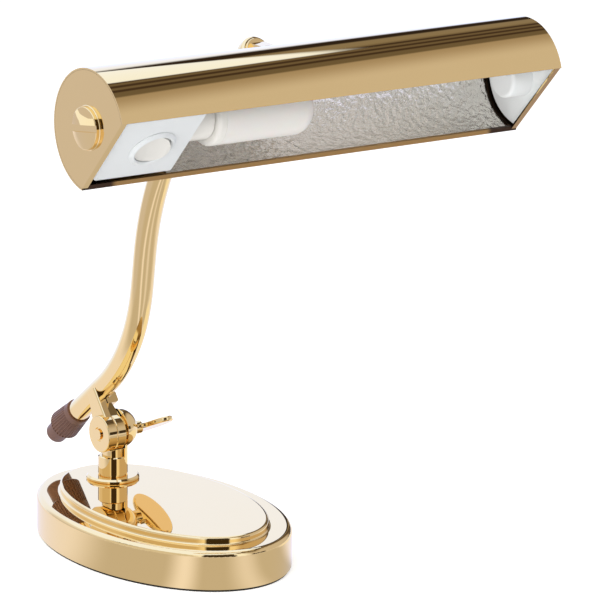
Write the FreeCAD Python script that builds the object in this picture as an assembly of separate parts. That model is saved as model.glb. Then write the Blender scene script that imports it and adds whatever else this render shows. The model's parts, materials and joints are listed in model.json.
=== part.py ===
import FreeCAD, Part
import math
import os

from FreeCAD import Placement, Rotation, Vector

# Piano lamp in polished brass. Millimetres, +Z up, +X along the shade, -Y towards the player.
# The origin is on the table, on the axis of the post. Everything lies about the plane X = 0.

X_AXIS = Vector(1, 0, 0)
Y_AXIS = Vector(0, 1, 0)
Z_AXIS = Vector(0, 0, 1)
ORIGIN = Vector(0, 0, 0)

# Clearances
running_fit = 0.05          # a shaft in its bore, per side, and faces that turn on each other
jaw_fit = 0.1               # the tube in the open clamp, per side
loose_fit = 0.3             # pieces that pass without touching
seat_gap = 0.02             # pieces that are screwed or pressed together face to face

# Base: black pad, cast weight, pressed oval shell with a raised plateau
base_half_length = 82.9
base_half_width = 53.2
post_from_back_end = 37.4
pad_thickness = 1.2
pad_inset = 0.9
shell_wall = 1.2
ledge_height = 20.3
ledge_width_at_ends = 11.6
ledge_width_at_sides = 12.3
plateau_rise = 4.0
shell_edge_radius = 2.8
plateau_edge_radius = 1.4
plateau_foot_radius = 1.0
weight_clearance = 0.5
nut_pocket_radius = 14.0
nut_pocket_depth = 9.0

# Post with its half dome, its rosette and the fasteners under the weight
rosette_radius = 13.5
rosette_height = 2.2
rosette_lip = 0.9
post_radius = 7.55
post_length = 10.0
post_groove_width = 0.7
post_groove_depth = 0.9
post_chamfer = 0.5
stud_radius = 5.0
stud_end_above_table = 3.4
fixing_washer_radius = 10.5
fixing_washer_thickness = 1.6
fixing_nut_across_flats = 16.0
fixing_nut_height = 4.6

# Base joint: cheek, claw and dome side by side on the thumb screw
pivot_above_post = 12.0
disc_radius = 9.5
disc_edge_radius = 0.6
claw_right_x = 2.35
claw_thickness = 5.3
cheek_thickness = 5.6
tilt_washer_thickness = 0.5
tilt_washer_radius = 8.6
dome_radius = 10.2
dome_rise = 1.4             # of its centre above the pivot
dome_flat_depth = 0.9
neck_core_radius = 5.6      # of the saddle under the discs
tube_axis_from_pivot = 22.6
stem_foot = 4.0             # the stems start this far above the pivot, inside the discs
stem_recess = 1.9           # of the cheek's stem, behind the face of its disc
stem_edge_radius = 1.0
cheek_front = 7.8           # the cheek's front edge, in front of the pivot
cheek_back_at_pivot = 7.4
cheek_back_slant = 0.34
claw_front_at_pivot = 9.4
claw_front_slant = 0.33
claw_back_at_pivot = 7.4
claw_back_slant = 0.2
claw_outer_x = 6.9
claw_corner_radius = 1.5
jaw_wall = 2.8              # below the tube
jaw_above_axis = -0.2
claw_above_axis = -1.5
jaw_split = 0.3
jaw_root = 1.0              # how far the jaw runs into the stem
screw_recess_radius = 3.7
screw_recess_depth = 0.6

# Thumb screw
thumb_shank_radius = 2.8
thumb_end_proud = 0.9
thumb_hub_radius = 3.4
thumb_hub_length = 4.6
thumb_hub_edge_radius = 0.8
wing_tip_x = 32.0
wing_half_width = 16.0
wing_head_length = 15.0
wing_neck_half_width = 4.6
wing_thickness = 2.8
wing_edge_radius = 1.0
wing_turn = -25.0           # the blade's plane, from the horizontal

# Arm tube: a straight tail in the clamp, a bend up, a short rise and a bend forward
tube_radius = 5.9
tube_wall = 1.0
tail_behind_pivot = 29.4
tail_length = 38.0
tail_angle = 38.3           # rise of the tail towards the shade
lower_bend_radius = 90.8
rise_angle = 82.0
rise_length = 16.8
upper_bend_radius = 137.5
top_angle = 32.8
top_length = 39.1

# Cord gland on the tail of the arm
gland_collar_radius = 8.2
gland_mouth_radius = 6.7
gland_collar_length = 17.8
gland_overlap = 6.7
gland_end_bevel = 1.2
gland_rib_count = 32
gland_rib_margin = 3.3
gland_groove_radius = 0.45
gland_nose_radius = 5.6
gland_nose_length = 11.0
gland_nose_rounding = 1.7
gland_neck_radius = 4.6
cord_bore_radius = 3.6
spigot_length = 14.0
spigot_bore_radius = 3.2

# Head knuckle: collar and eye on the arm, fork on the shade
collar_radius = 8.2
collar_length = 6.0
collar_edge_radius = 1.6
eye_plate_radius = 6.5
eye_plate_thickness = 1.2
eye_plug_length = 13.0
knuckle_reach = 11.04
knuckle_drop_angle = 46.0
lug_top = 3.6
lug_bottom = 6.2
lug_step = 1.2
eye_radius = 5.8
eye_half_thickness = 4.0
lead_bore_radius = 1.6
lead_bore_drop = 2.9        # below the tube's axis, clear of the pivot screw
lead_groove_depth = 2.4     # round the rim of the eye
friction_washer_thickness = 0.5
fork_cheek_thickness = 3.0
fork_cheek_radius = 6.4
fork_foot_radius = 7.5
fork_foot_gap = 0.4
fork_stand_off = 9.1        # from the knuckle's axis to the outside of the shade
pivot_screw_radius = 2.0
pivot_head_radius = 4.0
pivot_head_height = 2.2
pivot_slot_width = 1.0
pivot_slot_depth = 1.1
pivot_nut_across_flats = 7.0
pivot_nut_height = 3.2
nipple_radius = 5.0
nipple_bore_radius = 3.4
nipple_inside_length = 6.0
saddle_radius = 7.6
saddle_least_thickness = 0.8
shade_nut_across_flats = 13.0
shade_nut_height = 2.4

# Shade: a slit brass tube with folded lips
shade_radius = 28.4
shade_wall = 0.8
shade_length = 250.0
shade_wrap_angle = 243.3
opening_pitch = 42.55       # how far below the horizontal the opening looks
stub_angle = 19.5           # from the opening's inward normal to the fork, towards the rear lip
hem_gap = 0.5
hem_width = 1.6
hem_edge_radius = 0.3
cap_depth = 3.0
cap_plate = 0.9
cap_rim = 1.0
cap_clearance = 0.1
reflector_thickness = 0.3
reflector_edge_gap = 0.1
reflector_right_gap = 0.3
reflector_hole_radius = 10.0

# Coin screws that hold both end caps
coin_screw_back = 0.9       # from the tube's axis towards the front lip
coin_screw_rise = 1.3       # from the tube's axis away from the opening
coin_head_radius = 9.8
coin_head_height = 1.7
coin_head_dome = 1.2
coin_head_edge_radius = 0.5
coin_slot_width = 3.2
coin_slot_depth = 1.6
coin_slot_angle = -7.0      # from the horizontal
coin_washer_radius = 10.3
coin_washer_thickness = 0.5
coin_shank_radius = 3.0
coin_shank_length = 12.5
insert_radius = 5.0
insert_length = 8.0
insert_depth = 1.0
insert_flange_radius = 5.5
insert_flange_thickness = 0.8

# White mouldings inside the shade
moulding_clearance = 1.2
moulding_wall = 1.8
moulding_corner_radius = 2.6
housing_plan_radius = 7.0   # of its face, at the corner by the rear lip and the left end
housing_length = 44.2
housing_face_depth = 2.0    # its plate lies this far inside the opening
housing_side_top = 5.0
housing_boss_radius = 8.0
housing_boss_length = 10.5
plate_thickness = 0.7
plate_radial_gap = 2.4
boss_radius = 9.2
boss_shift = 1.0            # towards the rear lip
boss_reach = 12.4
boss_dome_radius = 1.8

# Round rocker switch in the housing's plate
switch_from_housing_end = 25.0
switch_shift = 0.8          # towards the rear lip
bezel_radius = 11.7
bezel_height = 1.6
bezel_rim_height = 0.4
bezel_shoulder_radius = 10.4
bezel_shoulder_height = 1.4
bezel_crest_radius = 9.7
bezel_inner_height = 1.0
switch_neck_radius = 9.8
switch_neck_depth = 3.9
switch_floor = 0.8
switch_block_half_length = 6.4
switch_block_half_width = 8.0
switch_block_depth = 7.0
rocker_radius = 8.9
rocker_axis_depth = 1.5     # below the housing's plate
rocker_proud = 1.5
rocker_dish_radius = 26.0
rocker_dish_depth = 1.0
rocker_inner_depth = 0.2
rocker_pin_radius = 1.2
rocker_pin_length = 0.55
rocker_rest_tilt = 8.0
blade_width = 4.8
blade_thickness = 0.8
blade_length = 7.0
blade_pitch = 8.4

# Lamp holder and lamp
holder_radius = 10.3
holder_proud = 14.3
holder_spigot_wall = 1.05
holder_nut_thickness = 2.2
holder_back_wall = 2.0
contact_clearance = 0.1
thread_shell_wall = 0.5
thread_shell_clearance = 0.1
contact_radius = 3.4
contact_thickness = 0.5
contact_rivet_radius = 1.2
contact_rivet_tail = 1.2
lamp_radius = 13.7
lamp_length = 56.2
lamp_gap = 0.3
lamp_shoulder_radius = 2.2
lamp_base_length = 4.2
lamp_seam_depth = 0.35
lamp_end_radius = 7.5
lamp_cap_radius = 6.9
lamp_cap_length = 19.4
lamp_tip_radius = 2.4
lamp_tip_length = 1.4
lamp_cap_taper = 1.6

# Heights and places that follow
post_to_base_centre = base_half_length - post_from_back_end
plateau_top = ledge_height + plateau_rise
plateau_half_length = base_half_length - ledge_width_at_ends
plateau_half_width = base_half_width - ledge_width_at_sides
post_foot = plateau_top + rosette_height
post_top = post_foot + post_length
pivot_height = post_top + pivot_above_post
dome_face_x = claw_right_x + tilt_washer_thickness + running_fit
claw_left_x = claw_right_x - claw_thickness
cheek_right_x = claw_left_x - seat_gap
cheek_left_x = cheek_right_x - cheek_thickness
dome_end_x = dome_face_x + dome_radius - dome_flat_depth
shade_bore = shade_radius - shade_wall
hem_outer = shade_bore - hem_gap
hem_inner = hem_outer - shade_wall
half_opening = 180.0 - shade_wrap_angle / 2.0
half_shade = shade_length / 2.0
cap_inside_x = half_shade - cap_depth
housing_right_x = housing_length - cap_inside_x
shoulder_x = housing_right_x + holder_proud


def heading(angle):
    """Unit vector that looks forward and rises by the angle, in the plane X = 0."""
    a = math.radians(angle)
    return Vector(0, -math.cos(a), math.sin(a))


def lift(angle):
    """Unit vector square to the heading, on its upper side."""
    a = math.radians(angle)
    return Vector(0, math.sin(a), math.cos(a))


def turned_about_x(origin, angle):
    """Frame at a point, turned about X."""
    return Placement(origin, Rotation(X_AXIS, angle))


jaw_foot = tube_axis_from_pivot - tube_radius - jaw_wall

# Frame of the clamp: +Y runs back down the tail of the arm, +Z from the pivot to the tube.
PIVOT = Vector(0, 0, pivot_height)
CLAMP = turned_about_x(PIVOT, -tail_angle)


class Route:
    """Centreline in the plane X = 0, made of straight runs and tangent arcs."""

    def __init__(self, start, angle):
        self.point = start
        self.angle = angle
        self.edges = []

    def run(self, length):
        end = self.point + heading(self.angle) * length
        self.edges.append(Part.LineSegment(self.point, end).toShape())
        self.point = end

    def bend(self, radius, angle):
        side = 1.0 if angle > self.angle else -1.0
        centre = self.point + lift(self.angle) * (side * radius)
        middle = centre - lift((self.angle + angle) / 2.0) * (side * radius)
        end = centre - lift(angle) * (side * radius)
        self.edges.append(Part.Arc(self.point, middle, end).toShape())
        self.point = end
        self.angle = angle


def arm_route():
    """Centreline of the arm tube, from its lower end in the gland to its upper end."""
    start = CLAMP.multVec(Vector(0, tail_behind_pivot, tube_axis_from_pivot))
    route = Route(start, tail_angle)
    route.run(tail_length)
    route.bend(lower_bend_radius, rise_angle)
    route.run(rise_length)
    route.bend(upper_bend_radius, top_angle)
    route.run(top_length)
    return route


ARM = arm_route()
# Frame on the front of the arm: +Z looks along the arm, +Y is its upper side.
ARM_END = turned_about_x(ARM.point + heading(top_angle) * eye_plate_thickness, 90.0 - top_angle)
TAIL_END = Placement(ARM.edges[0].Vertexes[0].Point, Rotation(Z_AXIS, heading(tail_angle)))

# The knuckle's axis, in the frame of the arm's end and in the lamp's own frame
knuckle_y = -knuckle_reach * math.sin(math.radians(knuckle_drop_angle))
knuckle_z = knuckle_reach * math.cos(math.radians(knuckle_drop_angle))
KNUCKLE = ARM_END.multVec(Vector(0, knuckle_y, knuckle_z))

# Frames of the shade: STUB has +Z along the fork, SHADE has +Z away from the opening.
knuckle_from_axis = shade_radius + fork_stand_off
stub_rise = opening_pitch - stub_angle
SHADE_AXIS = KNUCKLE + heading(-stub_rise) * knuckle_from_axis
STUB = turned_about_x(SHADE_AXIS, stub_rise - 90.0)
SHADE = turned_about_x(SHADE_AXIS, opening_pitch - 90.0)


def placed(shape, frame):
    """Copy of a shape built at the origin, in its frame."""
    copy = shape.copy()
    copy.Placement = frame.multiply(copy.Placement)
    return copy


def rod(radius, x_from, x_to, y=0.0, z=0.0):
    """Cylinder along X."""
    return Part.makeCylinder(radius, x_to - x_from, Vector(x_from, y, z), X_AXIS)


def upright(radius, z_from, z_to):
    """Cylinder along Z."""
    return Part.makeCylinder(radius, z_to - z_from, Vector(0, 0, z_from), Z_AXIS)


def block(x_from, x_to, y_from, y_to, z_from, z_to):
    """Box between two corners."""
    corner = Vector(x_from, y_from, z_from)
    return Part.makeBox(x_to - x_from, y_to - y_from, z_to - z_from, corner)


def turned(outline):
    """Solid of revolution about Z, from a closed outline of (radius, height) pairs."""
    points = [Vector(radius, 0, height) for radius, height in outline]
    wire = Part.makePolygon(points + points[:1])
    return Part.Face(wire).revolve(ORIGIN, Z_AXIS, 360)


def along_x(shape, x=0.0, y=0.0, z=0.0, towards=1):
    """A turned piece laid down, with its +Z along +X or -X."""
    lay = Placement(Vector(x, y, z), Rotation(Z_AXIS, X_AXIS * towards))
    return placed(shape, lay)


def prism_x(outline, x_from, x_to):
    """Prism along X, from an outline of (y, z) pairs."""
    points = [Vector(x_from, y, z) for y, z in outline]
    wire = Part.makePolygon(points + points[:1])
    return Part.Face(wire).extrude(X_AXIS * (x_to - x_from))


def hexagon(across_flats, z_from, z_to):
    """Upright hexagonal prism with its corners turned off at both ends."""
    corner = across_flats / math.sqrt(3.0)
    points = []
    for step in range(6):
        angle = math.radians(60.0 * step)
        points.append(Vector(corner * math.cos(angle), corner * math.sin(angle), z_from))
    prism = Part.Face(Part.makePolygon(points + points[:1])).extrude(Z_AXIS * (z_to - z_from))
    flat = across_flats / 2.0
    middle = (z_from + z_to) / 2.0
    turned_off = (corner - flat) / 2.0
    blank = turned([
        (0, z_from),
        (flat, z_from),
        (corner, z_from + turned_off),
        (corner, middle),
        (corner, z_to - turned_off),
        (flat, z_to),
        (0, z_to),
    ])
    return prism.common(blank)


def rings(shape, radius, tolerance=0.01):
    """The circular edges of a shape that have this radius."""
    found = []
    for edge in shape.Edges:
        if isinstance(edge.Curve, Part.Circle) and abs(edge.Curve.Radius - radius) < tolerance:
            found.append(edge)
    return found


def edges_at_height(shape, height, tolerance=0.01):
    """The edges of a shape that lie wholly at one height."""
    found = []
    for edge in shape.Edges:
        box = edge.BoundBox
        if abs(box.ZMin - height) < tolerance and abs(box.ZMax - height) < tolerance:
            found.append(edge)
    return found


def tangent_point(centre, radius, point, side):
    """Where the tangent from a point touches a circle, in (y, z), on one side of it."""
    dy = point[0] - centre[0]
    dz = point[1] - centre[1]
    opening = math.acos(radius / math.hypot(dy, dz))
    angle = math.atan2(dz, dy) + side * opening
    return (centre[0] + radius * math.cos(angle), centre[1] + radius * math.sin(angle))


# Base -----------------------------------------------------------------------------------------

def oval(half_length, half_width, z_from, z_to):
    """Upright oval prism about the middle of the base."""
    centre = Vector(0, -post_to_base_centre, z_from)
    long_end = centre + Y_AXIS * half_length
    side = centre + X_AXIS * half_width
    curve = Part.Ellipse(long_end, side, centre).toShape()
    return Part.Face(Part.Wire(curve)).extrude(Z_AXIS * (z_to - z_from))


def base_pad():
    """Soft black pad under the whole base."""
    return oval(base_half_length - pad_inset, base_half_width - pad_inset, 0.0, pad_thickness)


def base_shell():
    """Pressed brass shell: upright wall, ledge, riser and mirror-flat plateau."""
    lower = oval(base_half_length, base_half_width, pad_thickness, ledge_height)
    lower = lower.makeFillet(shell_edge_radius, edges_at_height(lower, ledge_height))
    plateau = oval(plateau_half_length, plateau_half_width, ledge_height / 2.0, plateau_top)
    plateau = plateau.makeFillet(plateau_edge_radius, edges_at_height(plateau, plateau_top))
    outside = lower.fuse(plateau)
    foot = [edge for edge in edges_at_height(outside, ledge_height)
            if edge.BoundBox.YLength < 2.0 * plateau_half_length + seat_gap]
    outside = outside.makeFillet(plateau_foot_radius, foot)
    hollow = oval(base_half_length - shell_wall, base_half_width - shell_wall,
                  0.0, ledge_height - shell_wall)
    upper_hollow = oval(plateau_half_length - shell_wall, plateau_half_width - shell_wall,
                        ledge_height / 2.0, plateau_top - shell_wall)
    post_hole = upright(stud_radius + running_fit, 0.0, plateau_top + shell_wall)
    return outside.cut(hollow).cut(upper_hollow).cut(post_hole)


def base_weight():
    """Cast iron weight that fills the shell, with a pocket for the post's nut."""
    inset = shell_wall + weight_clearance
    low = oval(base_half_length - inset, base_half_width - inset,
               pad_thickness + seat_gap, ledge_height - shell_wall - seat_gap)
    low = low.makeChamfer(shell_edge_radius, edges_at_height(low, ledge_height - shell_wall - seat_gap))
    high_top = plateau_top - shell_wall - seat_gap
    high = oval(plateau_half_length - inset, plateau_half_width - inset,
                ledge_height / 2.0, high_top)
    pocket = upright(nut_pocket_radius, 0.0, pad_thickness + nut_pocket_depth)
    hole = upright(stud_radius + loose_fit, 0.0, plateau_top)
    return low.fuse(high).cut(pocket).cut(hole)


def rosette():
    """Turned ring under the post, with a bevelled lip."""
    rim = rosette_radius
    low = plateau_top + seat_gap
    high = post_foot
    bore = stud_radius + running_fit
    return turned([
        (bore, low),
        (rim - rosette_lip / 2.0, low),
        (rim, low + rosette_lip / 2.0),
        (rim, high - rosette_lip),
        (rim - rosette_lip, high),
        (bore, high),
    ])


def post():
    """Post with its stud below and the half dome of the joint above, in one piece."""
    groove = post_radius - post_groove_depth
    foot = post_foot + seat_gap
    shaft = turned([
        (0, stud_end_above_table),
        (stud_radius - post_chamfer, stud_end_above_table),
        (stud_radius, stud_end_above_table + post_chamfer),
        (stud_radius, foot),
        (groove, foot),
        (groove, foot + post_groove_width),
        (post_radius, foot + post_groove_width),
        (post_radius, post_top - post_chamfer),
        (post_radius - post_chamfer, post_top),
        (0, post_top),
    ])
    neck = upright(post_radius, post_foot + post_length / 2.0, pivot_height)
    reach = 2.0 * disc_radius
    right_side = block(dome_face_x, reach, -reach, reach, post_foot, pivot_height + reach)
    dome = Part.makeSphere(dome_radius, Vector(dome_face_x, 0, pivot_height + dome_rise))
    ear = neck.common(right_side).fuse(dome.common(right_side))
    flat = block(dome_end_x, reach, -reach, reach, post_foot, pivot_height + reach)
    bore = rod(thumb_shank_radius + running_fit, 0.0, reach, 0.0, pivot_height)
    core = upright(neck_core_radius, post_foot + post_length / 2.0, pivot_height)
    disc_room = rod(disc_radius + loose_fit, -reach, dome_face_x, 0.0, pivot_height)
    return shaft.fuse(core.cut(disc_room)).fuse(ear.cut(flat)).cut(bore)


def fixing_washer():
    """Flat washer under the weight."""
    top = pad_thickness + nut_pocket_depth - seat_gap
    disc = upright(fixing_washer_radius, top - fixing_washer_thickness, top)
    return disc.cut(upright(stud_radius + loose_fit, 0.0, plateau_top))


def fixing_nut():
    """Hexagonal nut that draws the post, the shell and the weight together."""
    top = pad_thickness + nut_pocket_depth - fixing_washer_thickness - 2.0 * seat_gap
    nut = hexagon(fixing_nut_across_flats, top - fixing_nut_height, top)
    return nut.cut(upright(stud_radius + running_fit, 0.0, plateau_top))


# Base joint -----------------------------------------------------------------------------------

def clamp_disc(x_from, x_to):
    """One of the two discs that turn on the thumb screw, in the clamp's frame."""
    disc = rod(disc_radius, x_from, x_to)
    return disc.makeFillet(disc_edge_radius, rings(disc, disc_radius))


def arm_bore():
    """The hole that the tube passes through, in the clamp's frame."""
    reach = 4.0 * disc_radius
    return Part.makeCylinder(tube_radius + jaw_fit, 2.0 * reach,
                             Vector(0, -reach, tube_axis_from_pivot), Y_AXIS)


def cheek_profile(top, x_from, x_to):
    """The cheek's stem as a prism: upright in front, sloping behind, in the clamp's frame."""
    return prism_x([
        (-cheek_front, stem_foot),
        (-cheek_front, top),
        (cheek_back_at_pivot - cheek_back_slant * top, top),
        (cheek_back_at_pivot - cheek_back_slant * stem_foot, stem_foot),
    ], x_from, x_to)


def claw_profile(top, x_from, x_to):
    """The claw's stem as a prism: narrowing up to the tube's underside, in the clamp's frame."""
    front_at_jaw = claw_front_slant * jaw_foot - claw_front_at_pivot
    return prism_x([
        (claw_front_slant * stem_foot - claw_front_at_pivot, stem_foot),
        (front_at_jaw, jaw_foot),
        (front_at_jaw, top),
        (claw_back_at_pivot - claw_back_slant * top, top),
        (claw_back_at_pivot - claw_back_slant * stem_foot, stem_foot),
    ], x_from, x_to)


def above(height):
    """Everything above a height in the clamp's frame."""
    reach = 2.0 * tube_axis_from_pivot
    return block(-reach, reach, -reach, reach, height, reach)


def clamp_cheek():
    """Left half of the clamp: disc, flat stem and the jaw on the tube's left side."""
    disc = clamp_disc(cheek_left_x, cheek_right_x)
    outer_x = cheek_left_x + stem_recess
    stem_top = tube_axis_from_pivot + jaw_above_axis
    stem = cheek_profile(stem_top, outer_x, cheek_right_x)
    corners = [edge for edge in stem.Edges
               if edge.BoundBox.ZLength > tube_axis_from_pivot / 2.0
               and abs(edge.BoundBox.XMax - outer_x) < seat_gap]
    stem = stem.makeFillet(stem_edge_radius, corners)
    root_x = cheek_right_x - jaw_root
    jaw = cheek_profile(stem_top, root_x, -jaw_split).common(
        claw_profile(stem_top, root_x, -jaw_split)).common(above(jaw_foot))
    cheek = disc.fuse(stem.fuse(jaw).cut(arm_bore()))
    recess = rod(screw_recess_radius, cheek_left_x, cheek_left_x + screw_recess_depth)
    bore = rod(thumb_shank_radius + running_fit, cheek_left_x, cheek_right_x)
    return placed(cheek.cut(recess).cut(bore), CLAMP)


def clamp_claw():
    """Right half of the clamp: disc, stem and the claw that hooks round the tube's right side."""
    disc = clamp_disc(claw_left_x, claw_right_x)
    claw_top = tube_axis_from_pivot + claw_above_axis
    hook = claw_profile(claw_top, jaw_split, claw_outer_x).common(above(jaw_foot))
    corner = [edge for edge in hook.Edges
              if abs(edge.BoundBox.ZMax - jaw_foot) < seat_gap
              and abs(edge.BoundBox.XMin - claw_outer_x) < seat_gap]
    hook = hook.makeFillet(claw_corner_radius, corner)
    right_stem = claw_profile(claw_top, jaw_split, claw_right_x)
    left_stem = claw_profile(claw_top, claw_left_x, jaw_split).cut(above(jaw_foot - seat_gap))
    body = hook.fuse(right_stem).cut(arm_bore()).fuse(left_stem)
    bore = rod(thumb_shank_radius + running_fit, claw_left_x, claw_right_x)
    return placed(disc.fuse(body).cut(bore), CLAMP)


def tilt_washer():
    """Thin washer between the claw's disc and the dome."""
    ring = rod(tilt_washer_radius, claw_right_x + seat_gap, claw_right_x + tilt_washer_thickness)
    bore = rod(thumb_shank_radius + running_fit, 0.0, dome_end_x)
    return placed(ring.cut(bore), CLAMP)


def thumb_screw():
    """Screw through the joint, with a hub and one flat oval blade for the fingers."""
    end_x = cheek_left_x - thumb_end_proud
    hub_x = dome_end_x + running_fit
    shank = rod(thumb_shank_radius, end_x, hub_x)
    hub_end_x = hub_x + thumb_hub_length
    hub = rod(thumb_hub_radius, hub_x, hub_end_x)
    hub = hub.makeFillet(thumb_hub_edge_radius, rings(hub, thumb_hub_radius))
    half_length = wing_head_length / 2.0
    centre_x = wing_tip_x - half_length
    low = -wing_thickness / 2.0
    head_centre = Vector(centre_x, 0, low)
    tip = head_centre + X_AXIS * half_length
    side = head_centre + Y_AXIS * wing_half_width
    head_face = Part.Face(Part.Wire(Part.Ellipse(side, tip, head_centre).toShape()))
    neck = block(hub_x + thumb_hub_length / 2.0, centre_x, -wing_neck_half_width,
                 wing_neck_half_width, low, -low)
    blade = head_face.extrude(Z_AXIS * wing_thickness).fuse(neck).removeSplitter()
    rim = edges_at_height(blade, low) + edges_at_height(blade, -low)
    blade = blade.makeFillet(wing_edge_radius, rim)
    screw = shank.fuse(hub).fuse(blade)
    return placed(screw, turned_about_x(PIVOT, wing_turn))


# Arm ------------------------------------------------------------------------------------------

def swept(radius):
    """Round bar of this radius along the whole centreline of the arm."""
    path = Part.Wire(ARM.edges)
    circle = Part.Circle(ARM.edges[0].Vertexes[0].Point, heading(tail_angle), radius)
    return path.makePipeShell([Part.Wire(circle.toShape())], True, False)


def arm_tube():
    """Bent brass tube."""
    return swept(tube_radius).cut(swept(tube_radius - tube_wall))


def gland_collar():
    """Ribbed plastic collar over the tube's lower end."""
    low = gland_overlap - gland_collar_length
    high = gland_overlap
    bevel = gland_end_bevel
    collar = turned([
        (gland_neck_radius + running_fit, low),
        (gland_collar_radius - bevel, low),
        (gland_collar_radius, low + bevel),
        (gland_mouth_radius, high),
        (tube_radius + running_fit, high),
        (tube_radius + running_fit, -seat_gap),
        (gland_neck_radius + running_fit, -seat_gap),
    ])
    foot = Vector(gland_collar_radius, 0, low + bevel)
    mouth = Vector(gland_mouth_radius, 0, high)
    along = (mouth - foot).normalize()
    groove = Part.makeCylinder(gland_groove_radius, (mouth - foot).Length - gland_rib_margin,
                               foot, along)
    grooves = []
    for step in range(gland_rib_count):
        copy = groove.copy()
        copy.rotate(ORIGIN, Z_AXIS, 360.0 * step / gland_rib_count)
        grooves.append(copy)
    return placed(collar.cut(Part.makeCompound(grooves)), TAIL_END)


def gland_nose():
    """Round-ended sleeve that the cord comes out of, with its neck inside the collar."""
    collar_end = gland_overlap - gland_collar_length
    end = collar_end - gland_nose_length
    nose = turned([
        (cord_bore_radius, end),
        (gland_nose_radius, end),
        (gland_nose_radius, collar_end - seat_gap),
        (gland_neck_radius, collar_end - seat_gap),
        (gland_neck_radius, -2.0 * seat_gap),
        (cord_bore_radius, -2.0 * seat_gap),
    ])
    rim = [edge for edge in rings(nose, gland_nose_radius)
           if abs(edge.BoundBox.ZMin - end) < seat_gap]
    return placed(nose.makeFillet(gland_nose_rounding, rim), TAIL_END)


def gland_spigot():
    """Plastic spigot inside the tube, which keeps the lead off the brass edge."""
    outer = tube_radius - tube_wall - running_fit
    sleeve = upright(outer, -seat_gap, spigot_length)
    return placed(sleeve.cut(upright(spigot_bore_radius, -gland_overlap, 2.0 * spigot_length)), TAIL_END)


def arm_collar():
    """Turned collar round the tube's upper end."""
    front = -eye_plate_thickness - seat_gap
    ring = upright(collar_radius, front - collar_length, front)
    ring = ring.makeFillet(collar_edge_radius, rings(ring, collar_radius))
    return placed(ring.cut(upright(tube_radius + running_fit, -2.0 * collar_length, 0.0)), ARM_END)


def arm_eye():
    """Plug in the tube's upper end, with its round plate and the eye of the knuckle."""
    plug = upright(tube_radius - tube_wall - running_fit,
                   -eye_plate_thickness - eye_plug_length, -eye_plate_thickness)
    plate = upright(eye_plate_radius, -eye_plate_thickness, 0.0)
    plate = plate.makeChamfer(loose_fit, edges_at_height(plate, 0.0))
    centre = (knuckle_y, knuckle_z)
    top_corner = (lug_top, lug_step)
    bottom_corner = (-lug_bottom, 0.0)
    outline = [
        (lug_top, -eye_plate_thickness / 2.0),
        top_corner,
        tangent_point(centre, eye_radius, top_corner, 1),
        centre,
        tangent_point(centre, eye_radius, bottom_corner, -1),
        bottom_corner,
        (-lug_bottom, -eye_plate_thickness / 2.0),
    ]
    lug = prism_x(outline, -eye_half_thickness, eye_half_thickness)
    lug = lug.common(upright(eye_plate_radius, -eye_plate_thickness, 0.0).fuse(
        block(-collar_radius, collar_radius, 4.0 * knuckle_y, collar_radius, 0.0, 4.0 * knuckle_z)))
    eye = rod(eye_radius, -eye_half_thickness, eye_half_thickness, knuckle_y, knuckle_z)
    pivot = rod(pivot_screw_radius + running_fit, -collar_radius, collar_radius, knuckle_y, knuckle_z)
    groove = rod(2.0 * eye_radius, -lead_bore_radius, lead_bore_radius, knuckle_y, knuckle_z)
    groove = groove.cut(rod(eye_radius - lead_groove_depth, -collar_radius, collar_radius,
                            knuckle_y, knuckle_z))
    groove = groove.common(block(-collar_radius, collar_radius, -4.0 * collar_radius, -lug_bottom,
                                 0.0, 4.0 * knuckle_z).fuse(
        block(-collar_radius, collar_radius, -4.0 * collar_radius, collar_radius,
              knuckle_z, 4.0 * knuckle_z)))
    lead_way = upright(lead_bore_radius, -eye_plug_length - 2.0 * eye_plate_thickness, knuckle_z)
    lead_way.translate(Vector(0, -lead_bore_drop, 0))
    piece = plug.fuse(plate).fuse(lug).fuse(eye)
    return placed(piece.cut(pivot).cut(groove).cut(lead_way), ARM_END)


# Head knuckle, on the shade's side ------------------------------------------------------------

fork_inside = eye_half_thickness + friction_washer_thickness + 2.0 * running_fit
fork_outside = fork_inside + fork_cheek_thickness


def head_fork():
    """Fork with two round cheeks, a round foot on the shade and its threaded nipple."""
    foot_top = knuckle_from_axis - eye_radius - fork_foot_gap
    nipple_end = shade_radius - nipple_inside_length
    foot = upright(fork_foot_radius, shade_bore, foot_top)
    foot = foot.cut(rod(shade_radius + seat_gap, -fork_foot_radius, fork_foot_radius))
    nipple = upright(nipple_radius, nipple_end, foot_top)
    fork = foot.fuse(nipple)
    for side in (-1, 1):
        near = min(side * fork_inside, side * fork_outside)
        far = near + fork_cheek_thickness
        cheek = rod(fork_cheek_radius, near, far, 0.0, knuckle_from_axis)
        web = block(near, far, -fork_cheek_radius, fork_cheek_radius,
                    foot_top - fork_cheek_thickness / 2.0, knuckle_from_axis)
        web = web.common(upright(fork_foot_radius, shade_radius, knuckle_from_axis))
        fork = fork.fuse(cheek.fuse(web).cut(rod(shade_radius + seat_gap, near, far)))
    bore = rod(pivot_screw_radius + running_fit, -fork_outside, fork_outside, 0.0, knuckle_from_axis)
    lead_way = upright(nipple_bore_radius, 0.0, foot_top)
    return placed(fork.cut(bore).cut(lead_way), STUB)


def friction_washers():
    """The two washers between the eye and the fork's cheeks."""
    washers = []
    for side in (-1, 1):
        near = side * (eye_half_thickness + running_fit)
        far = side * (fork_inside - running_fit)
        ring = rod(eye_radius, min(near, far), max(near, far), 0.0, knuckle_from_axis)
        bore = rod(pivot_screw_radius + running_fit, -fork_inside, fork_inside, 0.0, knuckle_from_axis)
        washers.append(placed(ring.cut(bore), STUB))
    return Part.makeCompound(washers)


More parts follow.
